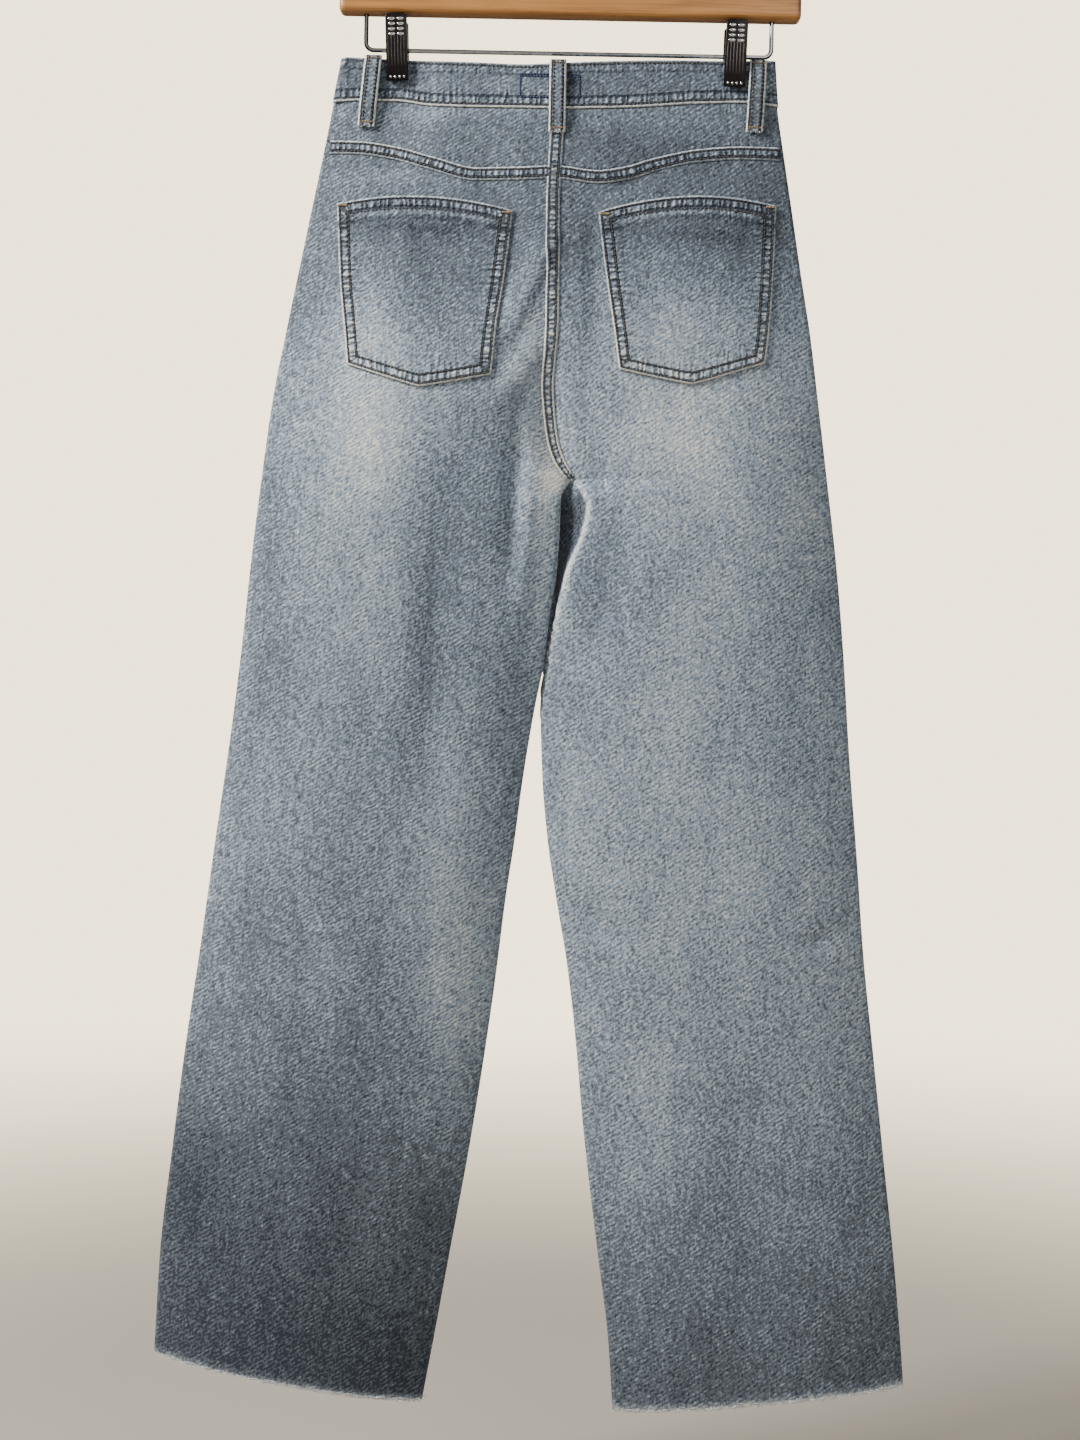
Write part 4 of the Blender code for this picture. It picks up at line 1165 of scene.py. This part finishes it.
def fly_cloth():
    lift = CLOTH + LAY_GAP

    def place(a, b):
        drop = mix(FLY_TOP, FLY_BOTTOM, b)
        width = fly_reach(drop) + FLY_OVERLAP
        x = centre_x(drop) + FLY_OVERLAP - a * width
        edge = nearest((a * width, drop), ((1 - a) * width, drop))
        return moved_out(FRONT, x, drop, lift), (-x, drop), edge, wash_and_painted_light_at(FRONT, x, drop), 0.8

    obj = cloth_piece("fly_cloth", 24, 60, place, CLOTH, FRONT, ["fly"])


# A felled seam lies over the two panels that it joins
Seam = namedtuple("Seam", "name face width line length")


def yoke_line(share):
    x = mix(*YOKE_SPAN, share)
    return x, along(CROSSINGS, "yoke_seam", x) + YOKE_FELL


def rise_line(top):
    """The line of the centre seam, from a drop down to the crotch."""
    def line(share):
        drop = mix(top, RISE_END, share)
        return centre_x(drop), drop

    return line


SEAMS = [
    Seam("yoke_seam", BACK, 0.0101, yoke_line, 0.352),
    Seam("back_rise_seam", BACK, 0.0104, rise_line(0.046), 0.288),
    Seam("front_rise_seam", FRONT, 0.0101, rise_line(0.200), 0.132),
]


def seam_frame(seam, share):
    """Place on a seam's middle line, and the direction across it, in x and drop."""
    x, drop = seam.line(share)
    x1, drop1 = seam.line(min(share + 0.004, 1.0))
    x0, drop0 = seam.line(max(share - 0.004, 0.0))
    run = Vector((x1 - x0, drop1 - drop0)).normalized()
    return Vector((x, drop)), Vector((run.y, -run.x))


def felled_seam(seam, above):
    """A strip along a seam, moved out from the cloth below it."""
    lift = CLOTH + FELL_LIFT + above

    def place(a, b):
        middle, across = seam_frame(seam, b)
        narrow = 1 - 0.22 * ease(0.94, 1.0, b) if seam.name != "yoke_seam" else 1.0
        at = middle + across * (a - 0.5) * seam.width * narrow
        rounded = 0.0007 * (1 - abs(2 * a - 1) ** 3)
        edge = (min(a, 1 - a) * seam.width, b * seam.length)
        fade = wash_and_painted_light_at(seam.face, at.x, at.y) + 0.02
        point = moved_out(seam.face, at.x, at.y, lift + rounded)
        return point, (at.x, at.y), edge, fade, 1.0

    rows = int(seam.length / 0.0032)
    obj = cloth_piece(seam.name, 8, rows, place, 0.0005, seam.face)


# Stitching


def add_stitch(made, face, centre, run, length=THREAD_LENGTH, radius=THREAD_RADIUS):
    """One stitch: a bead of thread along run, half sunk in the cloth of a face."""
    run = run.normalized()
    side = Vector((0, face, 0)).cross(run).normalized()
    up = run.cross(side)
    turn = Matrix((run, side, up)).transposed().to_4x4()
    size = Matrix.Diagonal((length / 2, radius, radius, 1.0))
    bmesh.ops.create_icosphere(
        made, subdivisions=1, radius=1.0, matrix=Matrix.Translation(centre) @ turn @ size
    )


def stitch_line(made, face, line, lift, length):
    """Stitches along line(share), which gives x and drop."""
    count = max(1, round(length / THREAD_PITCH))
    for n in range(count):
        here = moved_out(face, *line((n + 0.5) / count), lift)
        ahead = moved_out(face, *line(min((n + 0.5) / count + 0.5 / count, 1.0)), lift)
        if (ahead - here).length > 1e-6:
            add_stitch(made, face, here, ahead - here)


def bartack(made, face, x, drop, lift, width=0.0078, height=0.0022):
    """A dense block of short stitches across a strained corner."""
    count = 9
    for n in range(count):
        step = (n - (count - 1) / 2) * width / count
        here = moved_out(face, x + step, drop, lift)
        add_stitch(made, face, here, Vector((0.12, 0, 1)), height, 0.0005)


def pocket_line(levels, inset):
    """The run of stitches down one side of a pocket, along its foot and up the other."""
    rise = inset * 1.05
    foot = 1 - rise / (levels[-1].outer_drop - levels[0].outer_drop)

    def line(t):
        down = min(t, 1 - t) / FOOT_START
        b = foot * min(down, 1.0)
        narrow = inset / pocket_span(levels, b)[2]
        if down <= 1:
            return pocket_place(levels, narrow if t < 0.5 else 1 - narrow, b)
        a = mix(narrow, 1 - narrow, (t - FOOT_START) / (1 - 2 * FOOT_START))
        return pocket_place(levels, a, b)[0], pocket_place(levels, a, 1.0)[1] - rise

    return line


def mouth_line(levels, inset):
    def line(t):
        x, drop = pocket_place(levels, mix(0.02, 0.98, t), 0.0)
        return x, drop + inset

    return line


def sew_pockets(made, tacks):
    lift = 2 * CLOTH + LAY_GAP + THREAD_LIFT
    for levels in (LEFT_POCKET, RIGHT_POCKET):
        for inset in (0.0020, 0.0085):
            stitch_line(made, BACK, pocket_line(levels, inset), lift, POCKET_RUN)
        for inset in (0.0018, 0.0100):
            stitch_line(made, BACK, mouth_line(levels, inset), lift, MOUTH_RUN)
        top = levels[0]
        inward = 0.0045 if top.inner > top.outer else -0.0045
        for x, drop in ((top.outer + inward, top.outer_drop), (top.inner - inward, top.inner_drop)):
            bartack(tacks, BACK, x, drop + 0.0014, lift + TACK_LIFT)


def band_line(column, face):
    """A row of stitches by one edge of the waistband."""
    level, inset = BAND_ROWS[column]

    def line(share):
        x = mix(*BAND_STITCHED, share)
        side = -1 if x < 0 else 1
        grown = x * outer_edge(side, level) / outer_edge(side, 0)
        return grown, band_edge(column, face, x if column == "waist" else grown) + inset

    return line


def sew_band(made):
    for face in (BACK, FRONT):
        for column in BAND_ROWS:
            length = BAND_STITCHED[1] - BAND_STITCHED[0]
            stitch_line(made, face, band_line(column, face), BAND_CLOTH + THREAD_LIFT, length)


def sew_seams(made):
    for seam in SEAMS:
        for offset in (-0.30, 0.30):
            def line(share):
                middle, across = seam_frame(seam, share)
                at = middle + across * offset * seam.width
                return at.x, at.y

            stitch_line(made, seam.face, line, CLOTH + FELL_TOP, seam.length)


def sew_loops(made, tacks):
    top_layer = BAND_CLOTH + LAY_GAP + LOOP_CLOTH
    for loop in BELT_LOOPS:
        lean = (loop.bottom_x - loop.top_x) / (loop.bottom - loop.top)
        for offset in (-0.0031, 0.0031):
            count = round((loop.bottom - loop.top) / THREAD_PITCH)
            for n in range(count):
                b = (n + 0.5) / count
                x, drop = loop_place(loop, b)
                here = moved_out(loop.face, x + offset, drop, top_layer + loop_bow(b) + THREAD_LIFT)
                add_stitch(made, loop.face, here, Vector((lean, 0, -1)), radius=LOOP_THREAD_RADIUS)
        for x, drop in ((loop.top_x, loop.top + 0.0022), (loop.bottom_x, loop.bottom - 0.0030)):
            bartack(tacks, loop.face, x, drop, top_layer + TACK_LIFT, 0.0110, 0.0016)


def sew_patch_outline(made):
    """The rectangle of stitches where a patch was, behind the centre loop."""
    left, right, top, bottom = -0.0370, 0.0090, 0.0190, 0.0372
    sides = [
        (left, top, right, top), (left, top + 0.0016, right, top + 0.0016),
        (right, top, right, bottom), (right, bottom, left, bottom), (left, bottom, left, top),
    ]
    for x0, drop0, x1, drop1 in sides:
        run = Vector((x1 - x0, 0, drop0 - drop1))
        count = round(run.length / 0.0024)
        for n in range(count):
            t = (n + 0.5) / count
            here = moved_out(BACK, mix(x0, x1, t), mix(drop0, drop1, t), BAND_CLOTH)
            add_stitch(made, BACK, here, run, 0.0030, 0.00075)


def fly_line(inset):
    def line(share):
        drop = mix(0.056, FLY_BOTTOM - 0.002, share)
        return centre_x(drop) - max(fly_reach(drop) - inset, 0.0), drop

    return line


def scoop_line(side, inset):
    """A row of stitches along a front pocket's mouth."""
    def line(share):
        u = mix(0.02, SCOOP_SHARE - 0.01, share)
        drop = scoop(side, u) + inset * (1 - 0.5 * share)
        return cloth_point(side, FRONT, u + 0.03 * inset / 0.0085 * share, drop).x, drop

    return line


def sew_front(made, tacks):
    lift = 2 * CLOTH + LAY_GAP + THREAD_LIFT
    for inset in (0.0035, 0.0095):
        stitch_line(made, FRONT, fly_line(inset), lift, FLY_RUN)
    bartack(tacks, FRONT, -0.0100, FLY_BOTTOM - 0.004, lift + TACK_LIFT)
    for side in (-1, 1):
        for inset in (0.0022, 0.0085):
            stitch_line(made, FRONT, scoop_line(side, inset), CLOTH + THREAD_LIFT, SCOOP_RUN)


def buttonhole(made):
    """A keyhole slit of close stitches round the button's foot."""
    count = 44
    for n in range(count):
        t = 2 * pi * n / count
        x = BUTTON_X + 0.004 + 0.0125 * cos(t)
        drop = BUTTON_DROP + 0.0030 * sin(t)
        here = moved_out(FRONT, x, drop, LAP_OFFSET + BAND_CLOTH + 0.0003)
        run = Vector((0.3 * cos(t), 0, -sin(t) or 0.1))
        add_stitch(made, FRONT, here, run, 0.0022, 0.00035)


def loose_end(made, foot, lean, tall, radius):
    """One tapering thread that stands out of the cloth at foot."""
    turn = lean.to_track_quat("Z", "Y").to_matrix().to_4x4()
    bmesh.ops.create_cone(
        made, cap_ends=True, segments=4, radius1=radius, radius2=radius * 0.4, depth=tall,
        matrix=Matrix.Translation(foot + lean * (tall / 2 - 0.0005)) @ turn,
    )


def fray_hem(made, side, face, length, count, rng):
    """Loose warp ends along a raw hem, and the weft threads that they let go."""
    for n in range(count):
        u = mix(0.004, 0.996, (n + rng.uniform(0.1, 0.9)) / count)
        foot = cloth_point(side, face, u, hem_drop(side, u))
        foot += Vector((0, face * CLOTH * rng.uniform(0.1, 1.1), rng.uniform(0, 0.0008)))
        lean = Vector((rng.gauss(0, 0.55), face * abs(rng.gauss(0, 0.25)), -1)).normalized()
        loose_end(made, foot, lean, length * rng.uniform(0.35, 1.35), rng.uniform(0.00022, 0.00038))
    for n in range(count // 3):
        u = mix(0.01, 0.99, (n + rng.random()) / (count // 3))
        foot = cloth_point(side, face, u, hem_drop(side, u))
        foot += Vector((0, face * CLOTH * rng.uniform(0.3, 1.3), rng.uniform(-0.0008, 0.0010)))
        lean = Vector((rng.choice((-1, 1)), face * rng.uniform(0, 0.1), rng.gauss(0, 0.12)))
        loose_end(made, foot, lean.normalized(), rng.uniform(0.004, 0.009), LOOSE_RADIUS)


def fray_loop_ends(made, rng):
    for loop in BELT_LOOPS:
        for n in range(20):
            x = loop.bottom_x + mix(-0.5, 0.5, (n + rng.random()) / 20) * LOOP_WIDTH
            lift = BAND_CLOTH + LAY_GAP + rng.uniform(0.0003, 0.0019)
            foot = moved_out(loop.face, x, loop.bottom, lift)
            lean = Vector((rng.gauss(0, 0.5), loop.face * rng.uniform(0, 0.3), -1)).normalized()
            loose_end(made, foot, lean, rng.uniform(0.0008, 0.0022), LOOSE_RADIUS)


# Hanger


WOOD_TONES = [
    (0.30, (0.210, 0.075, 0.014)), (0.48, (0.400, 0.165, 0.034)), (0.70, (0.560, 0.260, 0.064)),
]


def varnished_wood():
    """Clear-varnished wood with its grain along the bar."""
    made, graph, shader = new_material("Varnished wood")
    place = graph.place()
    grain = graph.noise(graph.stretched(place, (0.045, 1.0, 1.0)), 420.0, 5.0, 0.62)
    bands = graph.noise(graph.stretched(place, (0.08, 1.0, 1.0)), 90.0, 3.0, 0.55)
    figure = graph.add(graph.multiply(grain, 0.55), graph.multiply(bands, 0.45))
    graph.fill(shader, {
        "Base Color": graph.ramp(figure, WOOD_TONES),
        "Roughness": graph.ramp(grain, [(0.3, 0.42), (0.7, 0.26)]),
        "Coat Weight": 0.35,
        "Coat Roughness": 0.18,
        "Normal": graph.bump(grain, 0.25, 0.0003),
    })
    return made


@made_once
def plated(name, colour, rough, smudge, rim=1.0):
    """Plated metal with faint smudges in its gloss; a rim below 1 darkens round wire at its edges, a
    painted dark reflection.
    """
    made, graph, shader = new_material(name)
    film = graph.noise(graph.place(), 160.0, 4.0, 0.6)
    low, high = [c * 0.82 for c in colour], [min(c * 1.08, 1.0) for c in colour]
    plate = graph.ramp(film, [(0.3, low), (0.7, high)])
    if rim < 1:
        # Painted reflection: the base colour darkens by rim where the wire turns edge-on.
        facing = graph.node("LayerWeight").outputs["Facing"]
        shade = graph.ramp(facing, [(0.0, 1.0), (0.03, 0.7), (0.10, rim)])
        both = graph.node("Mix", data_type="RGBA", blend_type="MULTIPLY")
        plate = graph.fill(both, {0: 1.0, 6: plate, 7: shade}).outputs[2]
    gloss = graph.ramp(film, [(0.35, rough), (0.75, rough + smudge)])
    graph.fill(shader, {"Base Color": plate, "Roughness": gloss, "Metallic": 1.0})
    return made


def black_steel():
    return plated("Black steel", (0.030, 0.026, 0.025), 0.30, 0.14)


def pad_rubber():
    made, graph, shader = new_material("Grip pad")
    film = graph.noise(graph.place(), 500.0, 2.0)
    dust = graph.ramp(film, [(0.3, (0.30, 0.29, 0.27)), (0.7, (0.46, 0.45, 0.42))])
    graph.fill(shader, {"Base Color": dust, "Roughness": 0.6})
    return made


def dress(name, look):
    """Gives a solid of the frame its finish."""
    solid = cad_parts[name]
    solid.data.materials.clear()
    solid.data.materials.append(look)


def clip_turn(clip, face):
    """Where a jaw's upright plate stands: its outer face is at +Z of the plate's own frame."""
    lean = Matrix.Rotation(radians(-clip.lean), 4, "Y")
    pad_inner = PINCH_DEPTH + SEAM_GAP / 2 + BAND_CLOTH + 0.0009
    jaw_inner = pad_inner + PAD_THICKNESS + 0.0003
    pad_drop = JAW_BOTTOM - 0.002 - PAD_HEIGHT / 2
    pivot = Matrix.Translation((0, face * (jaw_inner + JAW_THICKNESS / 2), -pad_drop))
    tilt = Matrix.Rotation(-face * JAW_TILT, 4, "X")
    hung = Matrix.Translation((clip.middle, 0, WIRE_Z)) @ lean
    return hung @ pivot @ tilt @ Matrix.Translation((0, 0, pad_drop))


def scaled_sphere(made, place, size, segments):
    bmesh.ops.create_uvsphere(
        made, u_segments=segments, v_segments=10, radius=1.0,
        matrix=Matrix.Translation(place) @ Matrix.Diagonal((*size, 1.0)),
    )


def jaw(clip, face):
    """A pressed steel jaw: thumb bumps at its top, ribs down its back and teeth at its foot."""
    made = bmesh.new()
    middle = -(JAW_TOP + JAW_BOTTOM) / 2
    size = Matrix.Diagonal((JAW_WIDTH, JAW_THICKNESS, JAW_BOTTOM - JAW_TOP, 1.0))
    bmesh.ops.create_cube(made, size=1.0, matrix=Matrix.Translation((0, 0, middle)) @ size)

    def depth(edge):
        return abs(edge.verts[0].co.y - edge.verts[1].co.y)

    def round_off(edges, offset, segments):
        bmesh.ops.bevel(
            made, geom=edges, offset=offset, segments=segments, affect="EDGES", profile=0.5, material=-1
        )

    round_off([e for e in made.edges if depth(e) > 0.001 and e.verts[0].co.z > middle], JAW_CORNER, 5)
    round_off([e for e in made.edges if depth(e) < 1e-5], JAW_RIM, 2)
    out = face * JAW_THICKNESS / 2
    for n in range(6):
        place = (mix(-0.0062, 0.0062, n / 5), out, middle - 0.0030)
        scaled_sphere(made, place, (0.0008, 0.0005, 0.0140), 10)
    bmesh.ops.transform(made, matrix=clip_turn(clip, face), verts=made.verts)
    name = f"clip_{clip.name}_{'near' if face == BACK else 'far'}"
    plate = finish_mesh(name + "_pressed", made, black_steel())
    plate.data.set_sharp_from_angle(angle=radians(40))
    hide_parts(name)
    studs = bmesh.new()
    for row in range(4):
        for column in (-1, 1):
            place = (column * 0.0034, out, -(JAW_TOP + 0.0046 + row * 0.0039))
            scaled_sphere(studs, place, (0.0029, 0.0009, 0.0013), 14)
    for n in range(4):
        place = (mix(-0.0052, 0.0052, n / 3), out, -(JAW_BOTTOM - 0.0026))
        scaled_sphere(studs, place, (0.0010, 0.0009, 0.0012), 14)
    bmesh.ops.transform(studs, matrix=clip_turn(clip, face), verts=studs.verts)
    # Painted highlight: the thumb bumps and teeth get bright plated metal in place of the black steel's
    # own glints.
    painted_glint = plated("Bright studs", (0.86, 0.84, 0.82), 0.16, 0.10)
    finish_mesh(name + "_studs", studs, painted_glint)


# Stage

BACKDROP_COLOUR = (1.0, 0.865, 0.60)
BACKDROP_STRENGTH = 3.5
EYE_LEVEL_GLOW = 0.72
OVERHEAD_GLOW = 0.28
FLOOR_COLOUR = (0.48, 0.43, 0.36)
FLOOR_BLEND_START = 0.20
FLOOR_BLEND_END = 3.0
FLOOR_GAP = 0.12

Light = namedtuple("Light", "name place target size power colour")
LIGHTS = [
    Light("key", (-1.55, -0.75, 0.75), (0.0, 0.0, -0.40), 0.6, 85.0, (1.0, 0.99, 0.96)),
    Light("fill", (0.9, -2.0, 0.5), (0.0, 0.0, -0.5), 1.2, 9.0, (1.0, 1.0, 1.0)),
    Light("back", (0.6, 1.9, 0.7), (0.0, 0.0, -0.6), 1.4, 22.0, (1.0, 1.0, 1.0)),
]

# Camera: its place in front of the wire's middle, and what it takes in
CAMERA_X = -0.0123
CAMERA_DROP = 0.5198
PICTURE_HEIGHT = 1.1232
SENSOR = 36.0


def area_light(light):
    data = bpy.data.lights.new(light.name, "AREA")
    data.shape = "RECTANGLE"
    data.size = data.size_y = light.size
    data.energy = light.power
    data.color = light.colour
    obj = bpy.data.objects.new(light.name, data)
    bpy.context.scene.collection.objects.link(obj)
    obj.location = light.place
    aim = Vector(light.target) - Vector(light.place)
    obj.rotation_euler = aim.to_track_quat("-Z", "Y").to_euler()


def pale_floor():
    """Matt floor that melts into the backdrop's colour away from the jeans."""
    made, graph, shader = new_material("Pale floor")
    away = graph.node("VectorMath", operation="LENGTH")
    graph.fill(away, {0: graph.stretched(graph.place(), (1.0, 1.0, 0.0))})
    share = graph.multiply(away.outputs["Value"], 1 / FLOOR_BLEND_END)
    floor_tone = [(FLOOR_BLEND_START, FLOOR_COLOUR), (1.0, 0.0)]
    glow = graph.ramp(share, [(FLOOR_BLEND_START, 0.0), (1.0, BACKDROP_COLOUR)], "EASE")
    seen = graph.node("LightPath").outputs["Is Camera Ray"]
    shown = graph.node("Mix", data_type="RGBA")
    graph.fill(shown, {0: seen, 6: (0.0, 0.0, 0.0, 1.0), 7: glow})
    graph.fill(shader, {
        "Base Color": graph.ramp(share, floor_tone, "EASE"),
        "Emission Color": shown.outputs[2],
        "Emission Strength": BACKDROP_STRENGTH,
        "Roughness": 0.9,
        "Specular IOR Level": 0.0,
    })
    return made


def studio_world():
    """A plain world, brighter at eye level than overhead, and brighter still behind the jeans."""
    world = bpy.data.worlds.new("Studio")
    world.use_nodes = True
    graph = Graph(world.node_tree)
    facing = graph.node("TexCoord").outputs["Generated"]
    height = graph.fill(graph.node("SeparateXYZ"), {0: facing}).outputs["Z"]
    glow = graph.ramp(
        graph.math("ABSOLUTE", height), [(0.15, EYE_LEVEL_GLOW), (0.45, OVERHEAD_GLOW)]
    )
    light, behind = graph.nodes["Background"], graph.node("Background")
    graph.fill(light, {"Strength": glow, "Color": (0.92, 0.92, 0.91, 1.0)})
    graph.fill(behind, {"Strength": BACKDROP_STRENGTH, "Color": (*BACKDROP_COLOUR, 1.0)})
    seen = graph.node("LightPath").outputs["Is Camera Ray"]
    both = graph.fill(graph.node("MixShader"), {0: seen, 1: light.outputs[0], 2: behind.outputs[0]})
    graph.fill(graph.nodes["World Output"], {"Surface": both.outputs[0]})
    return world


class JEANS_OT_panels(bpy.types.Operator):
    """Fronts and backs of both legs."""

    bl_idname = "jeans.panels"
    bl_label = "Leg panels"

    def execute(self, context):
        for side in (-1, 1):
            leg_panel(side, BACK)
            leg_panel(side, FRONT)
        return {"FINISHED"}


class JEANS_OT_top(bpy.types.Operator):
    """Yokes, waistband, pocket facings, belt loops and fly."""

    bl_idname = "jeans.top"
    bl_label = "Yokes, waistband, loops and fly"

    def execute(self, context):
        waistband_cloth()
        for side in (-1, 1):
            yoke_cloth(side)
            facing_cloth(side)
        for loop in BELT_LOOPS:
            belt_loop_cloth(loop)
        fly_cloth()
        return {"FINISHED"}


class JEANS_OT_pockets(bpy.types.Operator):
    """Back pockets."""

    bl_idname = "jeans.pockets"
    bl_label = "Back pockets"

    def execute(self, context):
        pocket_cloth(-1, LEFT_POCKET)
        pocket_cloth(1, RIGHT_POCKET)
        return {"FINISHED"}


class JEANS_OT_seams(bpy.types.Operator):
    """Felled seams of the yoke and the rise."""

    bl_idname = "jeans.seams"
    bl_label = "Felled seams"

    def execute(self, context):
        for seam in SEAMS:
            felled_seam(seam, 0.0 if seam.name == "yoke_seam" else 0.0003)
        return {"FINISHED"}


class JEANS_OT_stitching(bpy.types.Operator):
    """Stitch rows, bartacks, buttonhole and the outline of the missing patch."""

    bl_idname = "jeans.stitching"
    bl_label = "Stitching"

    def execute(self, context):
        colours = context.scene.jeans_colours
        made, tacks, navy = bmesh.new(), bmesh.new(), bmesh.new()
        sew_pockets(made, tacks)
        sew_band(made)
        sew_seams(made)
        sew_loops(made, tacks)
        sew_patch_outline(navy)
        sew_front(made, tacks)
        buttonhole(made)
        finish_mesh("stitching", made, yarn("Dark thread", colours.thread))
        finish_mesh("patch_outline", navy, yarn("Navy thread", NAVY))
        finish_mesh("bartacks", tacks, yarn("Tan thread", colours.bartack))
        return {"FINISHED"}


class JEANS_OT_fray(bpy.types.Operator):
    """Loose threads at the raw hems and at the loops' cut ends."""

    bl_idname = "jeans.fray"
    bl_label = "Frayed edges"

    def execute(self, context):
        rng = random.Random(11)
        made = bmesh.new()
        length = context.scene.jeans_cloth.fray
        for side in (-1, 1):
            for face in (BACK, FRONT):
                fray_hem(made, side, face, length, HEM_THREADS, rng)
        fray_loop_ends(made, rng)
        finish_mesh("frayed_threads", made, yarn("Loose yarn", LOOSE_YARN))
        return {"FINISHED"}


class JEANS_OT_closure(bpy.types.Operator):
    """Button and zip."""

    bl_idname = "jeans.closure"
    bl_label = "Button and zip"

    def execute(self, context):
        dress("button", plated("Aged copper", (0.50, 0.30, 0.17), 0.30, 0.20))
        dress("zip", yarn("Zip tape", (0.05, 0.06, 0.08)))
        return {"FINISHED"}


class JEANS_OT_hanger(bpy.types.Operator):
    """Wooden bar, hook, wire and clips."""

    bl_idname = "jeans.hanger"
    bl_label = "Hanger"

    def execute(self, context):
        dress("hanger_bar", varnished_wood())
        # rim=0.04 paints the wire's edges dark: a painted dark reflection.
        chrome = plated("Chrome wire", (0.90, 0.89, 0.90), 0.14, 0.08, rim=0.04)
        dress("hanger_wire", chrome)
        dress("hook", chrome)
        steel = black_steel()
        rubber = pad_rubber()
        for clip in CLIPS:
            dress(f"clip_saddle_{clip.name}", steel)
            for face, word in ((BACK, "near"), (FRONT, "far")):
                jaw(clip, face)
                dress(f"clip_pad_{clip.name}_{word}", rubber)
        return {"FINISHED"}


class JEANS_OT_stage(bpy.types.Operator):
    """Pale floor, soft light and the camera at the photograph's angle."""

    bl_idname = "jeans.stage"
    bl_label = "Stage"

    def execute(self, context):
        settings = context.scene.jeans_stage
        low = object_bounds()[0].z
        made = bmesh.new()
        bmesh.ops.create_grid(made, x_segments=2, y_segments=2, size=6.0)
        bmesh.ops.translate(made, verts=made.verts, vec=(0, 0, low - FLOOR_GAP))
        data = bpy.data.meshes.new("floor")
        made.to_mesh(data)
        made.free()
        floor = bpy.data.objects.new("floor", data)
        context.scene.collection.objects.link(floor)
        data.materials.append(pale_floor())
        floor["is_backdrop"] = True
        context.scene.world = studio_world()
        for light in LIGHTS:
            area_light(light)
        data = bpy.data.cameras.new("camera")
        data.sensor_width = SENSOR
        data.lens = SENSOR * settings.camera_distance / PICTURE_HEIGHT
        camera = bpy.data.objects.new("camera", data)
        context.scene.collection.objects.link(camera)
        camera.location = (CAMERA_X, -settings.camera_distance, WIRE_Z - CAMERA_DROP)
        camera.rotation_euler = (radians(90), settings.camera_roll, 0)
        context.scene.camera = camera
        return {"FINISHED"}


class JEANS_PT_panel(bpy.types.Panel):
    """The jeans' pieces and settings."""

    bl_idname = "JEANS_PT_panel"
    bl_label = "Wide-leg jeans"
    bl_space_type = "VIEW_3D"
    bl_region_type = "UI"
    bl_category = "Jeans"

    def draw(self, context):
        for settings in ("jeans_cloth", "jeans_colours", "jeans_stage"):
            group = getattr(context.scene, settings)
            for name in group.__annotations__:
                self.layout.prop(group, name)
        for step in STEPS:
            self.layout.operator(step.bl_idname)


STEPS = [
    JEANS_OT_stage,
    JEANS_OT_panels,
    JEANS_OT_top,
    JEANS_OT_pockets,
    JEANS_OT_seams,
    JEANS_OT_stitching,
    JEANS_OT_fray,
    JEANS_OT_closure,
    JEANS_OT_hanger,
]
GROUPS = [
    (ClothSettings, "jeans_cloth"),
    (ColourSettings, "jeans_colours"),
    (StageSettings, "jeans_stage"),
]


def register():
    for group, name in GROUPS:
        bpy.utils.register_class(group)
        setattr(bpy.types.Scene, name, bpy.props.PointerProperty(type=group))
    for step in STEPS:
        bpy.utils.register_class(step)
    bpy.utils.register_class(JEANS_PT_panel)


def unregister():
    bpy.utils.unregister_class(JEANS_PT_panel)
    for step in reversed(STEPS):
        bpy.utils.unregister_class(step)
    for group, name in reversed(GROUPS):
        delattr(bpy.types.Scene, name)
        bpy.utils.unregister_class(group)


def main():
    register()
    bpy.ops.jeans.stage()
    bpy.ops.jeans.panels()
    bpy.ops.jeans.top()
    bpy.ops.jeans.pockets()
    bpy.ops.jeans.seams()
    bpy.ops.jeans.stitching()
    bpy.ops.jeans.fray()
    bpy.ops.jeans.closure()
    bpy.ops.jeans.hanger()


if __name__ == "__main__":
    main()
